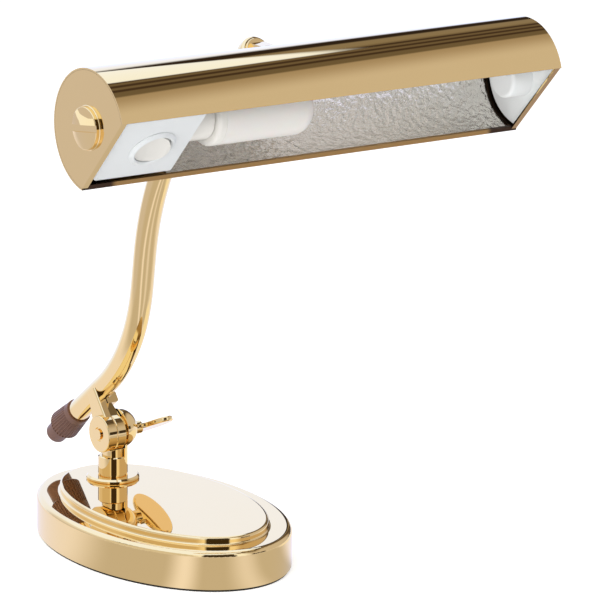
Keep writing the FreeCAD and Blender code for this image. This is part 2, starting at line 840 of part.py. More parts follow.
def pivot_screw():
    """Slotted screw through the knuckle."""
    head_x = -fork_outside - seat_gap
    end_x = fork_outside + pivot_nut_height + pivot_head_height / 4.0
    head = rod(pivot_head_radius, head_x - pivot_head_height, head_x)
    head = head.makeFillet(pivot_head_height / 3.0, rings(head, pivot_head_radius)[-1:])
    slot = block(head_x - pivot_head_height, head_x - pivot_head_height + pivot_slot_depth,
                 -pivot_head_radius, pivot_head_radius, -pivot_slot_width / 2.0, pivot_slot_width / 2.0)
    shank = rod(pivot_screw_radius, head_x - seat_gap, end_x)
    screw = head.cut(slot).fuse(shank)
    screw.translate(Vector(0, 0, knuckle_from_axis))
    return placed(screw, STUB)


def pivot_nut():
    """Nut on the knuckle's screw."""
    nut = hexagon(pivot_nut_across_flats, 0.0, pivot_nut_height)
    nut = nut.cut(upright(pivot_screw_radius + running_fit, -pivot_nut_height, 2.0 * pivot_nut_height))
    return placed(along_x(nut, fork_outside + seat_gap, 0.0, knuckle_from_axis), STUB)


def saddle_flat():
    """Height of the saddle's flat side, where the nut still clears the curved wall."""
    return math.sqrt((shade_bore - seat_gap) ** 2 - saddle_radius ** 2) - saddle_least_thickness


def shade_saddle():
    """Saddle washer inside the tube, curved outside and flat for the nut."""
    disc = upright(saddle_radius, saddle_flat(), shade_bore)
    disc = disc.common(rod(shade_bore - seat_gap, -saddle_radius, saddle_radius))
    return placed(disc.cut(upright(nipple_radius + running_fit, 0.0, shade_radius)), STUB)


def shade_nut():
    """Thin nut that holds the fork to the shade."""
    top = saddle_flat() - seat_gap
    nut = hexagon(shade_nut_across_flats, top - shade_nut_height, top)
    return placed(nut.cut(upright(nipple_radius + running_fit, 0.0, shade_radius)), STUB)


# Shade ----------------------------------------------------------------------------------------

def lip_angle(side):
    """Direction of the front (-1) or rear (+1) lip about the tube's axis, in the shade's frame."""
    return -90.0 + side * half_opening


def ring_sector(inner, outer, angle_from, angle_to, x_from, x_to):
    """Sector of a ring about the tube's axis; angles run from +Y towards +Z."""
    half_height = x_to - x_from
    ring = Part.makeCylinder(outer, half_height, ORIGIN, Z_AXIS, angle_to - angle_from)
    if inner > 0:
        ring = ring.cut(Part.makeCylinder(inner, half_height, ORIGIN, Z_AXIS, 360))
    ring.rotate(ORIGIN, Z_AXIS, angle_from)
    stand_to_lie = Rotation(Vector(0, 1, 0), Vector(0, 0, 1), Vector(1, 0, 0), "XYZ")
    return placed(ring, Placement(Vector(x_from, 0, 0), stand_to_lie))


def arc_degrees(length, radius):
    """Angle of an arc of this length."""
    return math.degrees(length / radius)


def shade_tube():
    """Slit tube; each lip is folded inwards, so that it holds the reflector's edge."""
    rear = lip_angle(1)
    front = rear + shade_wrap_angle
    tube = ring_sector(shade_bore, shade_radius, rear, front, -half_shade, half_shade)
    fold = arc_degrees(shade_wall, shade_radius)
    hem = arc_degrees(hem_width, hem_inner)
    hem_end = cap_inside_x - loose_fit
    for start, end, near in ((rear, rear + hem, rear), (front - hem, front, front - fold)):
        tube = tube.fuse(ring_sector(hem_inner, hem_outer, start, end, -hem_end, hem_end))
        tube = tube.fuse(ring_sector(hem_inner, shade_radius, near, near + fold, -hem_end, hem_end))
    hole = placed(upright(nipple_radius + running_fit, 0.0, 2.0 * shade_radius),
                  turned_about_x(ORIGIN, -stub_angle))
    return placed(tube.removeSplitter().cut(hole), SHADE)


def segment(radius, chord, x_from, x_to):
    """Disc segment about the tube's axis, cut off square below the chord's height."""
    return rod(radius, x_from, x_to).common(
        block(x_from, x_to, -radius, radius, chord, radius))


def cap_outline():
    """Radius and chord height of the end caps' outline."""
    radius = shade_bore - cap_clearance
    return radius, -radius * math.cos(math.radians(half_opening))


def coin_hole(radius, x_from, x_to):
    """Room for a piece on the coin screws' axis."""
    return rod(radius, x_from, x_to, -coin_screw_back, coin_screw_rise)


def end_cap(side):
    """Brass end cap: flat plate outside, rim all round inside."""
    radius, chord = cap_outline()
    plate = segment(radius, chord, cap_inside_x, half_shade)
    inner = segment(radius - cap_rim, chord + cap_rim, cap_inside_x - cap_rim, half_shade - cap_plate)
    cap = plate.cut(inner).cut(coin_hole(coin_shank_radius + loose_fit, 0.0, shade_length))
    if side < 0:
        cap = cap.mirror(ORIGIN, X_AXIS)
    return placed(cap, SHADE)


def reflector():
    """Thin bright lining between the housing and the end plate, tucked under both lips."""
    tuck = arc_degrees(shade_wall + reflector_edge_gap, shade_bore)
    outer = shade_bore - (hem_gap - reflector_thickness) / 2.0
    rear = lip_angle(1)
    sheet = ring_sector(outer - reflector_thickness, outer, rear + tuck,
                        rear + shade_wrap_angle - tuck,
                        housing_right_x + loose_fit, cap_inside_x - reflector_right_gap)
    hole = placed(upright(reflector_hole_radius, 0.0, 2.0 * shade_radius),
                  turned_about_x(ORIGIN, -stub_angle))
    return placed(sheet.cut(hole), SHADE)


# Coin screws ----------------------------------------------------------------------------------

def both_ends(make):
    """A piece on the coin screws' axis at each end; +Z of the piece points out of the shade."""
    pieces = []
    for side in (-1, 1):
        piece = along_x(make(), side * half_shade, 0.0, 0.0, side)
        piece.translate(Vector(0, -coin_screw_back, coin_screw_rise))
        pieces.append(placed(piece, SHADE))
    return Part.makeCompound(pieces)


def coin_screw():
    """Screw with a large low-domed head and a wide slot, standing on its washer."""
    low = coin_washer_thickness + 2.0 * seat_gap
    rim = low + coin_head_height
    head = upright(coin_head_radius, low, rim + coin_head_dome)
    dome_radius = (coin_head_radius ** 2 + coin_head_dome ** 2) / (2.0 * coin_head_dome)
    ball = Part.makeSphere(dome_radius, Vector(0, 0, rim + coin_head_dome - dome_radius))
    head = head.common(ball)
    head = head.makeFillet(coin_head_edge_radius, edges_at_height(head, rim))
    slot = block(-coin_head_radius, coin_head_radius, -coin_slot_width / 2.0, coin_slot_width / 2.0,
                 rim + coin_head_dome - coin_slot_depth, rim + 2.0 * coin_head_dome)
    shank = upright(coin_shank_radius, low - coin_shank_length, rim - coin_slot_depth)
    return head.cut(slot).fuse(shank)


def slotted_screws():
    """Both coin screws, with their slots at the same slant to the horizontal."""
    pieces = []
    for side in (-1, 1):
        piece = along_x(coin_screw(), 0.0, 0.0, 0.0, side)
        slot_now = piece.Placement.Rotation.multVec(X_AXIS)
        now = math.degrees(math.atan2(slot_now.z, slot_now.y))
        piece.rotate(ORIGIN, X_AXIS, coin_slot_angle - (opening_pitch - 90.0) - now)
        piece.translate(Vector(side * half_shade, -coin_screw_back, coin_screw_rise))
        pieces.append(placed(piece, SHADE))
    return Part.makeCompound(pieces)


def coin_washer():
    """Ring under the coin screw's head."""
    ring = upright(coin_washer_radius, seat_gap, coin_washer_thickness + seat_gap)
    ring = ring.makeChamfer(loose_fit, edges_at_height(ring, coin_washer_thickness + seat_gap))
    return ring.cut(upright(coin_shank_radius + running_fit, 0.0, shade_radius))


def cap_insert():
    """Brass insert in the moulding, which takes the coin screw's thread."""
    outside = -cap_depth - insert_depth
    flange = upright(insert_flange_radius, outside - insert_flange_thickness, outside)
    body = upright(insert_radius, outside - insert_length, outside)
    return flange.fuse(body).cut(upright(coin_shank_radius + running_fit, -shade_radius, 0.0))


def insert_room():
    """Room for one insert, a little larger than it, to cut from a moulding."""
    outside = -cap_depth - insert_depth
    flange = upright(insert_flange_radius + running_fit, outside - insert_flange_thickness - seat_gap,
                     shade_radius)
    body = upright(insert_radius + running_fit, outside - insert_length - seat_gap, outside)
    tail = upright(coin_shank_radius + loose_fit, -coin_shank_length - loose_fit, outside)
    return flange.fuse(body).fuse(tail)


def insert_room_at(side):
    """The room for the insert at the left (-1) or right (+1) end, in the shade's frame."""
    room = along_x(insert_room(), side * half_shade, 0.0, 0.0, side)
    room.translate(Vector(0, -coin_screw_back, coin_screw_rise))
    return room


# White mouldings ------------------------------------------------------------------------------

moulding_radius = hem_inner - moulding_clearance
opening_depth = shade_radius * math.cos(math.radians(half_opening))
housing_face = housing_face_depth - opening_depth
switch_x = switch_from_housing_end - cap_inside_x
housing_left_x = seat_gap - cap_inside_x


def housing_blank(inset):
    """Trough-shaped outline of the housing, smaller all round by the inset."""
    radius = moulding_radius - inset
    shape = segment(radius, housing_face + inset, housing_left_x + inset, housing_right_x - inset)
    corner = [edge for edge in shape.Edges
              if abs(edge.BoundBox.ZMax - housing_face - inset) < seat_gap
              and edge.BoundBox.XLength > housing_length / 2.0]
    shape = shape.makeFillet(moulding_corner_radius - inset, corner)
    centre_x = housing_left_x + housing_plan_radius
    centre_y = math.sqrt(moulding_radius ** 2 - housing_face ** 2) - housing_plan_radius
    missing = block(housing_left_x, centre_x, centre_y, moulding_radius,
                    -moulding_radius, moulding_radius)
    rounding = Part.makeCylinder(housing_plan_radius - inset, 2.0 * moulding_radius,
                                 Vector(centre_x, centre_y, -moulding_radius), Z_AXIS)
    return shape.cut(missing.cut(rounding))


def socket_housing():
    """White moulded housing with closed ends; the tube's crown covers its open back."""
    shell = housing_blank(0.0).cut(housing_blank(moulding_wall))
    back = block(housing_left_x + moulding_wall, housing_right_x - moulding_wall,
                 -shade_radius, shade_radius, housing_side_top, shade_radius)
    boss_end = housing_left_x + housing_boss_length
    boss = coin_hole(housing_boss_radius, housing_left_x, boss_end)
    shell = shell.cut(back).fuse(boss)
    switch_hole = upright(switch_neck_radius + running_fit, housing_face - moulding_wall, 0.0)
    switch_hole.translate(Vector(switch_x, switch_shift, 0))
    holder_hole = rod(spigot_radius + running_fit, housing_right_x - 2.0 * moulding_wall,
                      housing_right_x + moulding_wall)
    return placed(shell.cut(switch_hole).cut(holder_hole).cut(insert_room_at(-1)), SHADE)


def end_plate():
    """White plate in the right end, with its round boss."""
    right = half_shade - cap_plate - seat_gap
    face_x = right - plate_thickness
    radius, chord = cap_outline()
    plate = segment(shade_bore - plate_radial_gap, chord + cap_rim + running_fit, face_x, right)
    boss = rod(boss_radius, face_x - boss_reach, right, boss_shift)
    front = [edge for edge in rings(boss, boss_radius)
             if abs(edge.BoundBox.XMin - face_x + boss_reach) < seat_gap]
    boss = boss.makeFillet(boss_dome_radius, front)
    return placed(plate.fuse(boss).cut(insert_room_at(1)), SHADE)


# Switch ---------------------------------------------------------------------------------------

ROCKER = Placement(Vector(switch_x, switch_shift, housing_face + rocker_axis_depth),
                   Rotation(Y_AXIS, rocker_rest_tilt))
SWITCH = Placement(Vector(switch_x, switch_shift, housing_face), Rotation())


def switch_body():
    """Ridged bezel, round neck and the block with the contacts."""
    room = rocker_radius + 2.0 * running_fit
    bezel = turned([
        (0, -seat_gap),
        (bezel_radius, -seat_gap),
        (bezel_radius, -bezel_rim_height),
        (bezel_shoulder_radius, -bezel_shoulder_height),
        (bezel_crest_radius, -bezel_height),
        (room, -bezel_inner_height),
        (0, -bezel_inner_height),
    ])
    neck = upright(switch_neck_radius, -seat_gap, switch_neck_depth)
    floor_height = switch_neck_depth - switch_floor
    inner = block(-switch_block_half_length, switch_block_half_length,
                  -switch_block_half_width, switch_block_half_width,
                  floor_height, switch_neck_depth + switch_block_depth)
    well = Part.makeSphere(room, Vector(0, 0, rocker_axis_depth))
    mouth = upright(room, -2.0 * bezel_height, rocker_axis_depth)
    floor = block(-room, room, -room, room, floor_height, 2.0 * room)
    cup = well.cut(floor).fuse(mouth)
    body = bezel.fuse(neck).fuse(inner).cut(cup)
    pins = Part.makeCylinder(rocker_pin_radius + running_fit, 2.0 * switch_neck_radius,
                             Vector(0, -switch_neck_radius, rocker_axis_depth), Y_AXIS)
    return placed(body.cut(pins), SHADE.multiply(SWITCH))


def switch_blades():
    """The two flat tabs on the back of the switch."""
    tabs = []
    root = switch_neck_depth + switch_block_depth + seat_gap
    for side in (-1, 1):
        middle = side * blade_pitch / 2.0
        tab = block(-blade_width / 2.0, blade_width / 2.0, middle - blade_thickness / 2.0,
                    middle + blade_thickness / 2.0, root, root + blade_length)
        tabs.append(placed(tab, SHADE.multiply(SWITCH)))
    return Part.makeCompound(tabs)


def switch_rocker():
    """Round dished rocker on two short pins, resting with its left end pressed."""
    ball = Part.makeSphere(rocker_radius)
    crown = -rocker_axis_depth - rocker_proud
    slab = block(-rocker_radius, rocker_radius, -rocker_radius, rocker_radius,
                 crown, rocker_inner_depth)
    dish_centre = crown + rocker_dish_depth - rocker_dish_radius
    dish = Part.makeCylinder(rocker_dish_radius, 2.0 * rocker_radius,
                             Vector(0, -rocker_radius, dish_centre), Y_AXIS)
    half_pin = rocker_radius + rocker_pin_length
    pins = Part.makeCylinder(rocker_pin_radius, 2.0 * half_pin, Vector(0, -half_pin, 0), Y_AXIS)
    rocker = ball.common(slab).cut(dish).fuse(pins)
    return placed(rocker, SHADE.multiply(ROCKER))


# Lamp holder and lamp -------------------------------------------------------------------------

cap_bore = lamp_cap_radius + thread_shell_clearance
shell_outer = cap_bore + thread_shell_wall
spigot_radius = shell_outer + holder_spigot_wall
lamp_tip_x = shoulder_x - lamp_cap_length - lamp_tip_length
contact_face_x = lamp_tip_x - contact_clearance
holder_left_x = contact_face_x - contact_thickness - seat_gap - holder_back_wall
holder_mouth_x = shoulder_x - lamp_gap
shell_left_x = contact_face_x + seat_gap


def lamp_holder():
    """White sleeve in front of the housing's end wall, with a spigot through it."""
    sleeve = rod(holder_radius, housing_right_x + seat_gap, holder_mouth_x)
    spigot = rod(spigot_radius, holder_left_x, holder_mouth_x)
    room = rod(shell_outer + running_fit, holder_left_x + holder_back_wall, holder_mouth_x)
    rivet = rod(contact_rivet_radius + running_fit, holder_left_x, holder_mouth_x)
    return placed(sleeve.fuse(spigot).cut(room).cut(rivet), SHADE)


def holder_nut():
    """Ring nut that draws the holder to the end wall."""
    right = housing_right_x - moulding_wall - seat_gap
    ring = rod(holder_radius, right - holder_nut_thickness, right)
    return placed(ring.cut(rod(spigot_radius + running_fit, holder_left_x, right)), SHADE)


def thread_shell():
    """Brass sleeve that takes the lamp's cap."""
    tube = rod(shell_outer, shell_left_x, holder_mouth_x - moulding_wall)
    return placed(tube.cut(rod(cap_bore, shell_left_x, holder_mouth_x)), SHADE)


def centre_contact():
    """Contact disc at the bottom of the holder, on its rivet."""
    seat = holder_left_x + holder_back_wall + seat_gap
    disc = rod(contact_radius, seat, seat + contact_thickness)
    rivet = rod(contact_rivet_radius, holder_left_x - contact_rivet_tail, seat)
    return placed(disc.fuse(rivet), SHADE)


def lamp_cap():
    """Metal screw cap of the lamp, with its insulated tip."""
    body_end = lamp_cap_length
    outline = [
        (0, seat_gap),
        (lamp_cap_radius, seat_gap),
        (lamp_cap_radius, body_end - lamp_cap_taper),
        (lamp_cap_radius - lamp_cap_taper, body_end),
        (lamp_tip_radius, body_end),
        (lamp_tip_radius, body_end + lamp_tip_length),
        (0, body_end + lamp_tip_length),
    ]
    return placed(along_x(turned(outline), shoulder_x, 0.0, 0.0, -1), SHADE)


def lamp_base():
    """Short plastic base of the lamp, with a round shoulder."""
    base = rod(lamp_radius, shoulder_x, shoulder_x + lamp_base_length)
    near = [edge for edge in rings(base, lamp_radius)
            if abs(edge.BoundBox.XMin - shoulder_x) < seat_gap]
    return placed(base.makeFillet(lamp_shoulder_radius, near), SHADE)


def lamp_cover():
    """Opal cover of the lamp, a straight tube with a rounded end."""
    left = shoulder_x + lamp_base_length + seat_gap
    right = shoulder_x + lamp_length
    cover = rod(lamp_radius, left, right)
    far = [edge for edge in rings(cover, lamp_radius)
           if abs(edge.BoundBox.XMin - right) < seat_gap]
    cover = cover.makeFillet(lamp_end_radius, far)
    near = [edge for edge in rings(cover, lamp_radius)
            if abs(edge.BoundBox.XMin - left) < seat_gap]
    return placed(cover.makeChamfer(lamp_seam_depth, near), SHADE)


PIECES = {
    "base_pad": base_pad,
    "base_weight": base_weight,
    "base_shell": base_shell,
    "post_rosette": rosette,
    "post": post,
    "fixing_washer": fixing_washer,
    "fixing_nut": fixing_nut,
    "clamp_cheek": clamp_cheek,
    "clamp_claw": clamp_claw,
    "tilt_washer": tilt_washer,
    "thumb_screw": thumb_screw,
    "arm_tube": arm_tube,
    "gland_collar": gland_collar,
    "gland_nose": gland_nose,
    "gland_spigot": gland_spigot,
    "arm_collar": arm_collar,
    "arm_eye": arm_eye,
    "head_fork": head_fork,
    "friction_washers": friction_washers,
    "pivot_screw": pivot_screw,
    "pivot_nut": pivot_nut,
    "shade_saddle": shade_saddle,
    "shade_nut": shade_nut,
    "shade_tube": shade_tube,
    "end_cap_left": lambda: end_cap(-1),
    "end_cap_right": lambda: end_cap(1),
    "reflector": reflector,
    "coin_screws": slotted_screws,
    "coin_washers": lambda: both_ends(coin_washer),
    "cap_inserts": lambda: both_ends(cap_insert),
    "socket_housing": socket_housing,
    "end_plate": end_plate,
    "switch_body": switch_body,
    "switch_blades": switch_blades,
    "switch_rocker": switch_rocker,
    "lamp_holder": lamp_holder,
    "holder_nut": holder_nut,
    "thread_shell": thread_shell,
    "centre_contact": centre_contact,
    "lamp_cap": lamp_cap,
    "lamp_base": lamp_base,
    "lamp_cover": lamp_cover,
}

os.makedirs("parts", exist_ok=True)
for name, make in PIECES.items():
    piece = make()
    piece.exportStep("parts/" + name + ".step")
    box = piece.BoundBox
    print(f"{name:18s} solids {len(piece.Solids)} volume {piece.Volume:10.1f} valid {piece.isValid()}"
          f"  x {box.XMin:8.2f} {box.XMax:8.2f}  y {box.YMin:8.2f} {box.YMax:8.2f}"
          f"  z {box.ZMin:8.2f} {box.ZMax:8.2f}")
print("knuckle", KNUCKLE, "shade axis", SHADE_AXIS, "arm end", ARM.point)
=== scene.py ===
"""Looks of a polished brass piano lamp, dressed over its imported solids.

Unless a line says otherwise, lengths are in metres and angles in degrees.
"""

from __future__ import annotations

import json
import logging
import math
from dataclasses import dataclass
from enum import Enum
from typing import Any, Callable, ClassVar, Optional, Union

import bmesh
import bpy
from mathutils import Matrix, Vector, noise

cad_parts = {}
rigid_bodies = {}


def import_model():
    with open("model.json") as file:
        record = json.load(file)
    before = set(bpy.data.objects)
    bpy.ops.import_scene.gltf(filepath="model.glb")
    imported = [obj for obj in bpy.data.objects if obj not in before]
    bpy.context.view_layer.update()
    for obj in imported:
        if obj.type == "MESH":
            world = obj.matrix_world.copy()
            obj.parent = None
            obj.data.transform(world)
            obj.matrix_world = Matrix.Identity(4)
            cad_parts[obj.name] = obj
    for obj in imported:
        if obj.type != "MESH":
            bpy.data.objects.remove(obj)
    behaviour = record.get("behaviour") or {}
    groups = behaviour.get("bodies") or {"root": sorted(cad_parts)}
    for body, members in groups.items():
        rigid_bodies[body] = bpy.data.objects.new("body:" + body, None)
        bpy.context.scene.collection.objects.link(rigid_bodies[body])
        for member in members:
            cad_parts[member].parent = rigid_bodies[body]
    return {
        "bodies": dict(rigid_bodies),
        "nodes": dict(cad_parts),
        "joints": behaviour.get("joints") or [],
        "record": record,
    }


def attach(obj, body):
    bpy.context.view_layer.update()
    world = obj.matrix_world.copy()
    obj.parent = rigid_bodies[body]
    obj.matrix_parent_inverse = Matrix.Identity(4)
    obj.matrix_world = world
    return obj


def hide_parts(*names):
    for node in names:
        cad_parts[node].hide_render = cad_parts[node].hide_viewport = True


log = logging.getLogger("piano_lamp")

Colour = tuple[float, float, float]
Span = tuple[float, float]
Direction = tuple["Socket", "Socket", "Socket"]
MM = 0.001
DEGREES = 180.0 / math.pi
PLAIN_WHITE: Colour = (1.0, 1.0, 1.0)


# Shader building

class Socket:
    """Output of a node, on which sums and products read as plain Python."""

    def __init__(self, sheet: NodeSheet, source: Optional[bpy.types.NodeSocket]) -> None:
        """Keeps the sheet and the socket.

        Args:
            sheet: The node sheet that the socket belongs to.
            source: The wrapped output socket, or None for a node without outputs.
        """
        self.sheet = sheet
        self.source = source

    def _math(self, operation: str, *values: Any) -> Socket:
        """One Math node on these values."""
        return self.sheet.node("ShaderNodeMath", {"operation": operation}, list(values))

    def __add__(self, other: Any) -> Socket:
        """Sum."""
        return self._math("ADD", self, other)

    def __radd__(self, other: Any) -> Socket:
        """Sum, with this socket on the right."""
        return self._math("ADD", other, self)

    def __sub__(self, other: Any) -> Socket:
        """Difference."""
        return self._math("SUBTRACT", self, other)

    def __rsub__(self, other: Any) -> Socket:
        """Difference, with this socket on the right."""
        return self._math("SUBTRACT", other, self)

    def __mul__(self, other: Any) -> Socket:
        """Product."""
        return self._math("MULTIPLY", self, other)

    def __rmul__(self, other: Any) -> Socket:
        """Product, with this socket on the right."""
        return self._math("MULTIPLY", other, self)

    def __truediv__(self, other: Any) -> Socket:
        """Quotient."""
        return self._math("DIVIDE", self, other)

    def __rtruediv__(self, other: Any) -> Socket:
        """Quotient, with this socket on the right."""
        return self._math("DIVIDE", other, self)

    def absolute(self) -> Socket:
        """This socket without its sign."""
        return self._math("ABSOLUTE", self)

    def at_least(self, least: float) -> Socket:
        """The greater of this socket and a number."""
        return self._math("MAXIMUM", self, least)

    def angle_from(self, ahead: Any) -> Socket:
        """Angle in degrees of a direction, with ahead at 0 and this part of it at 90."""
        return self._math("ARCTAN2", self, ahead) * DEGREES

    def ramp_between(self, low: float, high: float) -> Socket:
        """Smooth step from 0 at low to 1 at high."""
        return self.sheet.node("ShaderNodeMapRange", {"interpolation_type": "SMOOTHSTEP"},
                               {"Value": self, "From Min": low, "From Max": high})

    def fade_between(self, low: float, high: float) -> Socket:
        """Smooth step from 1 at low to 0 at high."""
        return 1.0 - self.ramp_between(low, high)

    def sibling(self, output: Union[int, str]) -> Socket:
        """Another output of the same node, by name or number."""
        return Socket(self.sheet, self.source.node.outputs[output])


class NodeSheet:
    """Node tree of one material or world, filled through one method."""

    def __init__(self, owner: Union[bpy.types.Material, bpy.types.World]) -> None:
        """Clears the owner's tree.

        Args:
            owner: Material or world whose nodes are made here.
        """
        owner.use_nodes = True
        self.tree = owner.node_tree
        self.tree.nodes.clear()

    def node(self, kind: str, settings: Optional[dict[str, Any]] = None,
             values: Union[dict[Union[int, str], Any], list[Any], None] = None,
             output: Union[int, str] = 0) -> Socket:
        """Adds one node.

        Args:
            kind: Type of the node.
            settings: Attributes that are set first.
            values: Values or links of the inputs, by name or number, or in order.
            output: Which output is returned.

        Returns:
            The chosen output.
        """
        made = self.tree.nodes.new(kind)
        for name, value in (settings or {}).items():
            setattr(made, name, value)
        pairs = enumerate(values) if isinstance(values, list) else (values or {}).items()
        for name, value in pairs:
            self._feed(made.inputs[name], value)
        return Socket(self, made.outputs[output] if made.outputs else None)

    def _feed(self, target: bpy.types.NodeSocket, value: Any) -> None:
        """Links a socket, or writes a value.

        Args:
            target: The input.
            value: A socket, a value, or a member of an Enum that holds one.
        """
        value = value.value if isinstance(value, Enum) else value
        if isinstance(value, Socket):
            self.tree.links.new(value.source, target)
        elif isinstance(value, tuple) and len(value) == 3 and target.type == "RGBA":
            target.default_value = (*value, 1.0)
        else:
            target.default_value = value

    def mix(self, factor: Any, low: Any, high: Any) -> Socket:
        """Mixes two colours.

        Args:
            factor: Share of the second colour.
            low: First colour.
            high: Second colour.

        Returns:
            The mixed colour.
        """
        factor_input, low_input, high_input, colour_output = 0, 6, 7, 2
        return self.node("ShaderNodeMix", {"data_type": "RGBA"},
                         {factor_input: factor, low_input: low, high_input: high}, colour_output)

    def place(self) -> Socket:
        """Position on the object."""
        return self.node("ShaderNodeTexCoord", output="Object")

    def split(self, vector: Socket) -> tuple[Socket, Socket, Socket]:
        """The x, y and z of a vector."""
        x = self.node("ShaderNodeSeparateXYZ", {}, {"Vector": vector})
        return x, x.sibling("Y"), x.sibling("Z")

    def speckle(self, size: float, detail: float) -> Socket:
        """Noise from 0 to 1 on the object; size is that of its grains."""
        return self.node("ShaderNodeTexNoise", {},
                         {"Vector": self.place(), "Scale": 1.0 / size, "Detail": detail})

    def bump(self, height: Socket, distance: float) -> Socket:
        """Normal bent by a height from 0 to 1, whose real size is a distance."""
        return self.node("ShaderNodeBump", {},
                         {"Height": height, "Distance": distance, "Strength": 1.0})

    def background(self, colour: Any, strength: float) -> Socket:
        """Light of one colour from all around."""
        return self.node("ShaderNodeBackground", {}, {"Color": colour, "Strength": strength})

    def emission(self, colour: Any, strength: Any) -> Socket:
        """Light of one colour from a surface."""
        return self.node("ShaderNodeEmission", {}, {"Color": colour, "Strength": strength})

    def blend(self, factor: Any, low: Socket, high: Socket) -> Socket:
        """Mixes two shaders by the share of the second."""
        return self.node("ShaderNodeMixShader", {}, {0: factor, 1: low, 2: high})

    def finish_surface(self, **values: Any) -> None:
        """Ends the sheet with one principled surface; spaces in names are underscores."""
        named = {name.replace("_", " "): value for name, value in values.items()}
        surface = self.node("ShaderNodeBsdfPrincipled", {}, named)
        self.node("ShaderNodeOutputMaterial", {}, {"Surface": surface})


# Finishes

def dimmed(colour: Colour, share: float) -> Colour:
    """A colour with each channel times a share."""
    red, green, blue = colour
    return red * share, green * share, blue * share


@dataclass(frozen=True)
class Surface:
    """Material that paints itself on a sheet of its own.

    Attributes:
        name: Name of the material.
    """

    name: str

    def make(self) -> bpy.types.Material:
        """Builds the material.

        Returns:
            The painted material.
        """
        material = bpy.data.materials.new(self.name)
        self.paint(NodeSheet(material))
        return material

    def paint(self, sheet: NodeSheet) -> None:
        """Fills the material's sheet."""
        raise NotImplementedError


@dataclass(frozen=True)
class PolishedBrass(Surface):
    """Mirror-polished, lacquered brass.

    Attributes:
        colour: Colour of the metal.
        deep: Deeper colour of its clouds.
        roughness: Least roughness.
        haze: Extra roughness where the lacquer is uneven.
        waviness: Depth of the waves left by buffing.
        cloud: Size of the clouds.
        film: Size of the uneven patches of lacquer.
        grain: Size of the grain within them.
        wave: Size of the waves.
        coat: Weight of the lacquer.
        coat_roughness: Roughness of the lacquer.
    """

    colour: Colour = (0.93, 0.70, 0.33)
    deep: Colour = (0.9207, 0.686, 0.3135)
    roughness: float = 0.012
    haze: float = 0.03
    waviness: float = 0.003 * MM
    cloud: float = 30.0 * MM
    film: float = 11.0 * MM
    grain: float = 0.5 * MM
    wave: float = 16.0 * MM
    coat: float = 0.08
    coat_roughness: float = 0.02

    def paint(self, sheet: NodeSheet) -> None:
        """Fills the material's sheet.

        Args:
            sheet: The cleared sheet.
        """
        uneven = sheet.speckle(self.film, 3.0) * sheet.speckle(self.grain, 2.0)
        sheet.finish_surface(
            Base_Color=sheet.mix(sheet.speckle(self.cloud, 2.0), self.colour, self.deep),
            Metallic=1.0,
            Roughness=self.roughness + self.haze * uneven,
            Normal=sheet.bump(sheet.speckle(self.wave, 1.0), self.waviness),
            Coat_Weight=self.coat,
            Coat_Roughness=self.coat_roughness,
        )


@dataclass(frozen=True)
class WorkedMetal(Surface):
    """Plain metal with a machined, cast or plated skin.

    Attributes:
        colour: Lighter colour of the skin.
        roughness: Least roughness.
        grain: Size of the skin's grain.
        depth: Depth of the grain.
        spread: How much darker its clouds are.
        cloud_grains: Size of the clouds, in grains.
        haze: Extra roughness of the skin.
    """

    colour: Colour
    roughness: float
    grain: float
    depth: float
    spread: float = 0.15
    cloud_grains: float = 8.0
    haze: float = 0.12

    def tint(self, sheet: NodeSheet) -> Socket:
        """Colour of the skin, in clouds."""
        cloud = sheet.speckle(self.grain * self.cloud_grains, 3.0)
        return sheet.mix(cloud, dimmed(self.colour, 1.0 - self.spread), self.colour)

    def paint(self, sheet: NodeSheet) -> None:
        """Fills the material's sheet.

        Args:
            sheet: The cleared sheet.
        """
        skin = sheet.speckle(self.grain, 4.0)
        sheet.finish_surface(
            Base_Color=self.tint(sheet),
            Metallic=1.0,
            Roughness=self.roughness + self.haze * skin,
            Normal=sheet.bump(skin, self.depth),
        )


@dataclass(frozen=True)
class RawShadedBrass(WorkedMetal):
    """Unpolished brass inside the shade, dulled and darkened as painted shade, near black towards
    its ends where the gaps by the end caps lie in shadow.

    Attributes:
        end_shade: Colour of the painted shade near the ends.
        unshaded_half: Half the length that is free of the painted shade at the ends.
        fade: Length over which the painted shade sets in.
    """

    colour: Colour = (0.42, 0.25, 0.085)
    roughness: float = 0.3
    grain: float = 0.8 * MM
    depth: float = 0.02 * MM
    end_shade: Colour = (0.06, 0.035, 0.02)
    unshaded_half: float = 106.0 * MM
    fade: float = 4.0 * MM

    def tint(self, sheet: NodeSheet) -> Socket:
        """Colour of the skin, from end to end, with painted shade near the ends."""
        past = sheet.split(sheet.place())[0].absolute() - self.unshaded_half
        # Painted shade: near black towards the ends, where the gaps by the end caps are in shadow.
        return sheet.mix(past.ramp_between(0.0, self.fade), self.colour, self.end_shade)


@dataclass(frozen=True)
class HammeredFoil(Surface):
    """Bright aluminium lining; its dimples are in the mesh and its fine creases are here.

    Attributes:
        colour: Colour of the metal.
        dull_share: Share of that colour in its duller patches.
        metallic: Share of bare metal; the rest is a pale oxide.
        roughness: Least roughness.
        haze: Extra roughness of the duller patches.
        patch: Size of the duller patches.
        crease: Size of the creases.
        depth: Depth of the creases.
    """

    colour: Colour = (0.985, 0.955, 0.885)
    dull_share: float = 0.96
    metallic: float = 0.75
    roughness: float = 0.07
    haze: float = 0.05
    patch: float = 20.0 * MM
    crease: float = 3.0 * MM
    depth: float = 1.6 * MM

    def paint(self, sheet: NodeSheet) -> None:
        """Fills the material's sheet.

        Args:
            sheet: The cleared sheet.
        """
        dull = sheet.speckle(self.patch, 2.0)
        sheet.finish_surface(
            Base_Color=sheet.mix(dull, self.colour, dimmed(self.colour, self.dull_share)),
            Metallic=self.metallic,
            Roughness=self.roughness + self.haze * dull,
            Normal=sheet.bump(sheet.speckle(self.crease, 3.0), self.depth),
        )


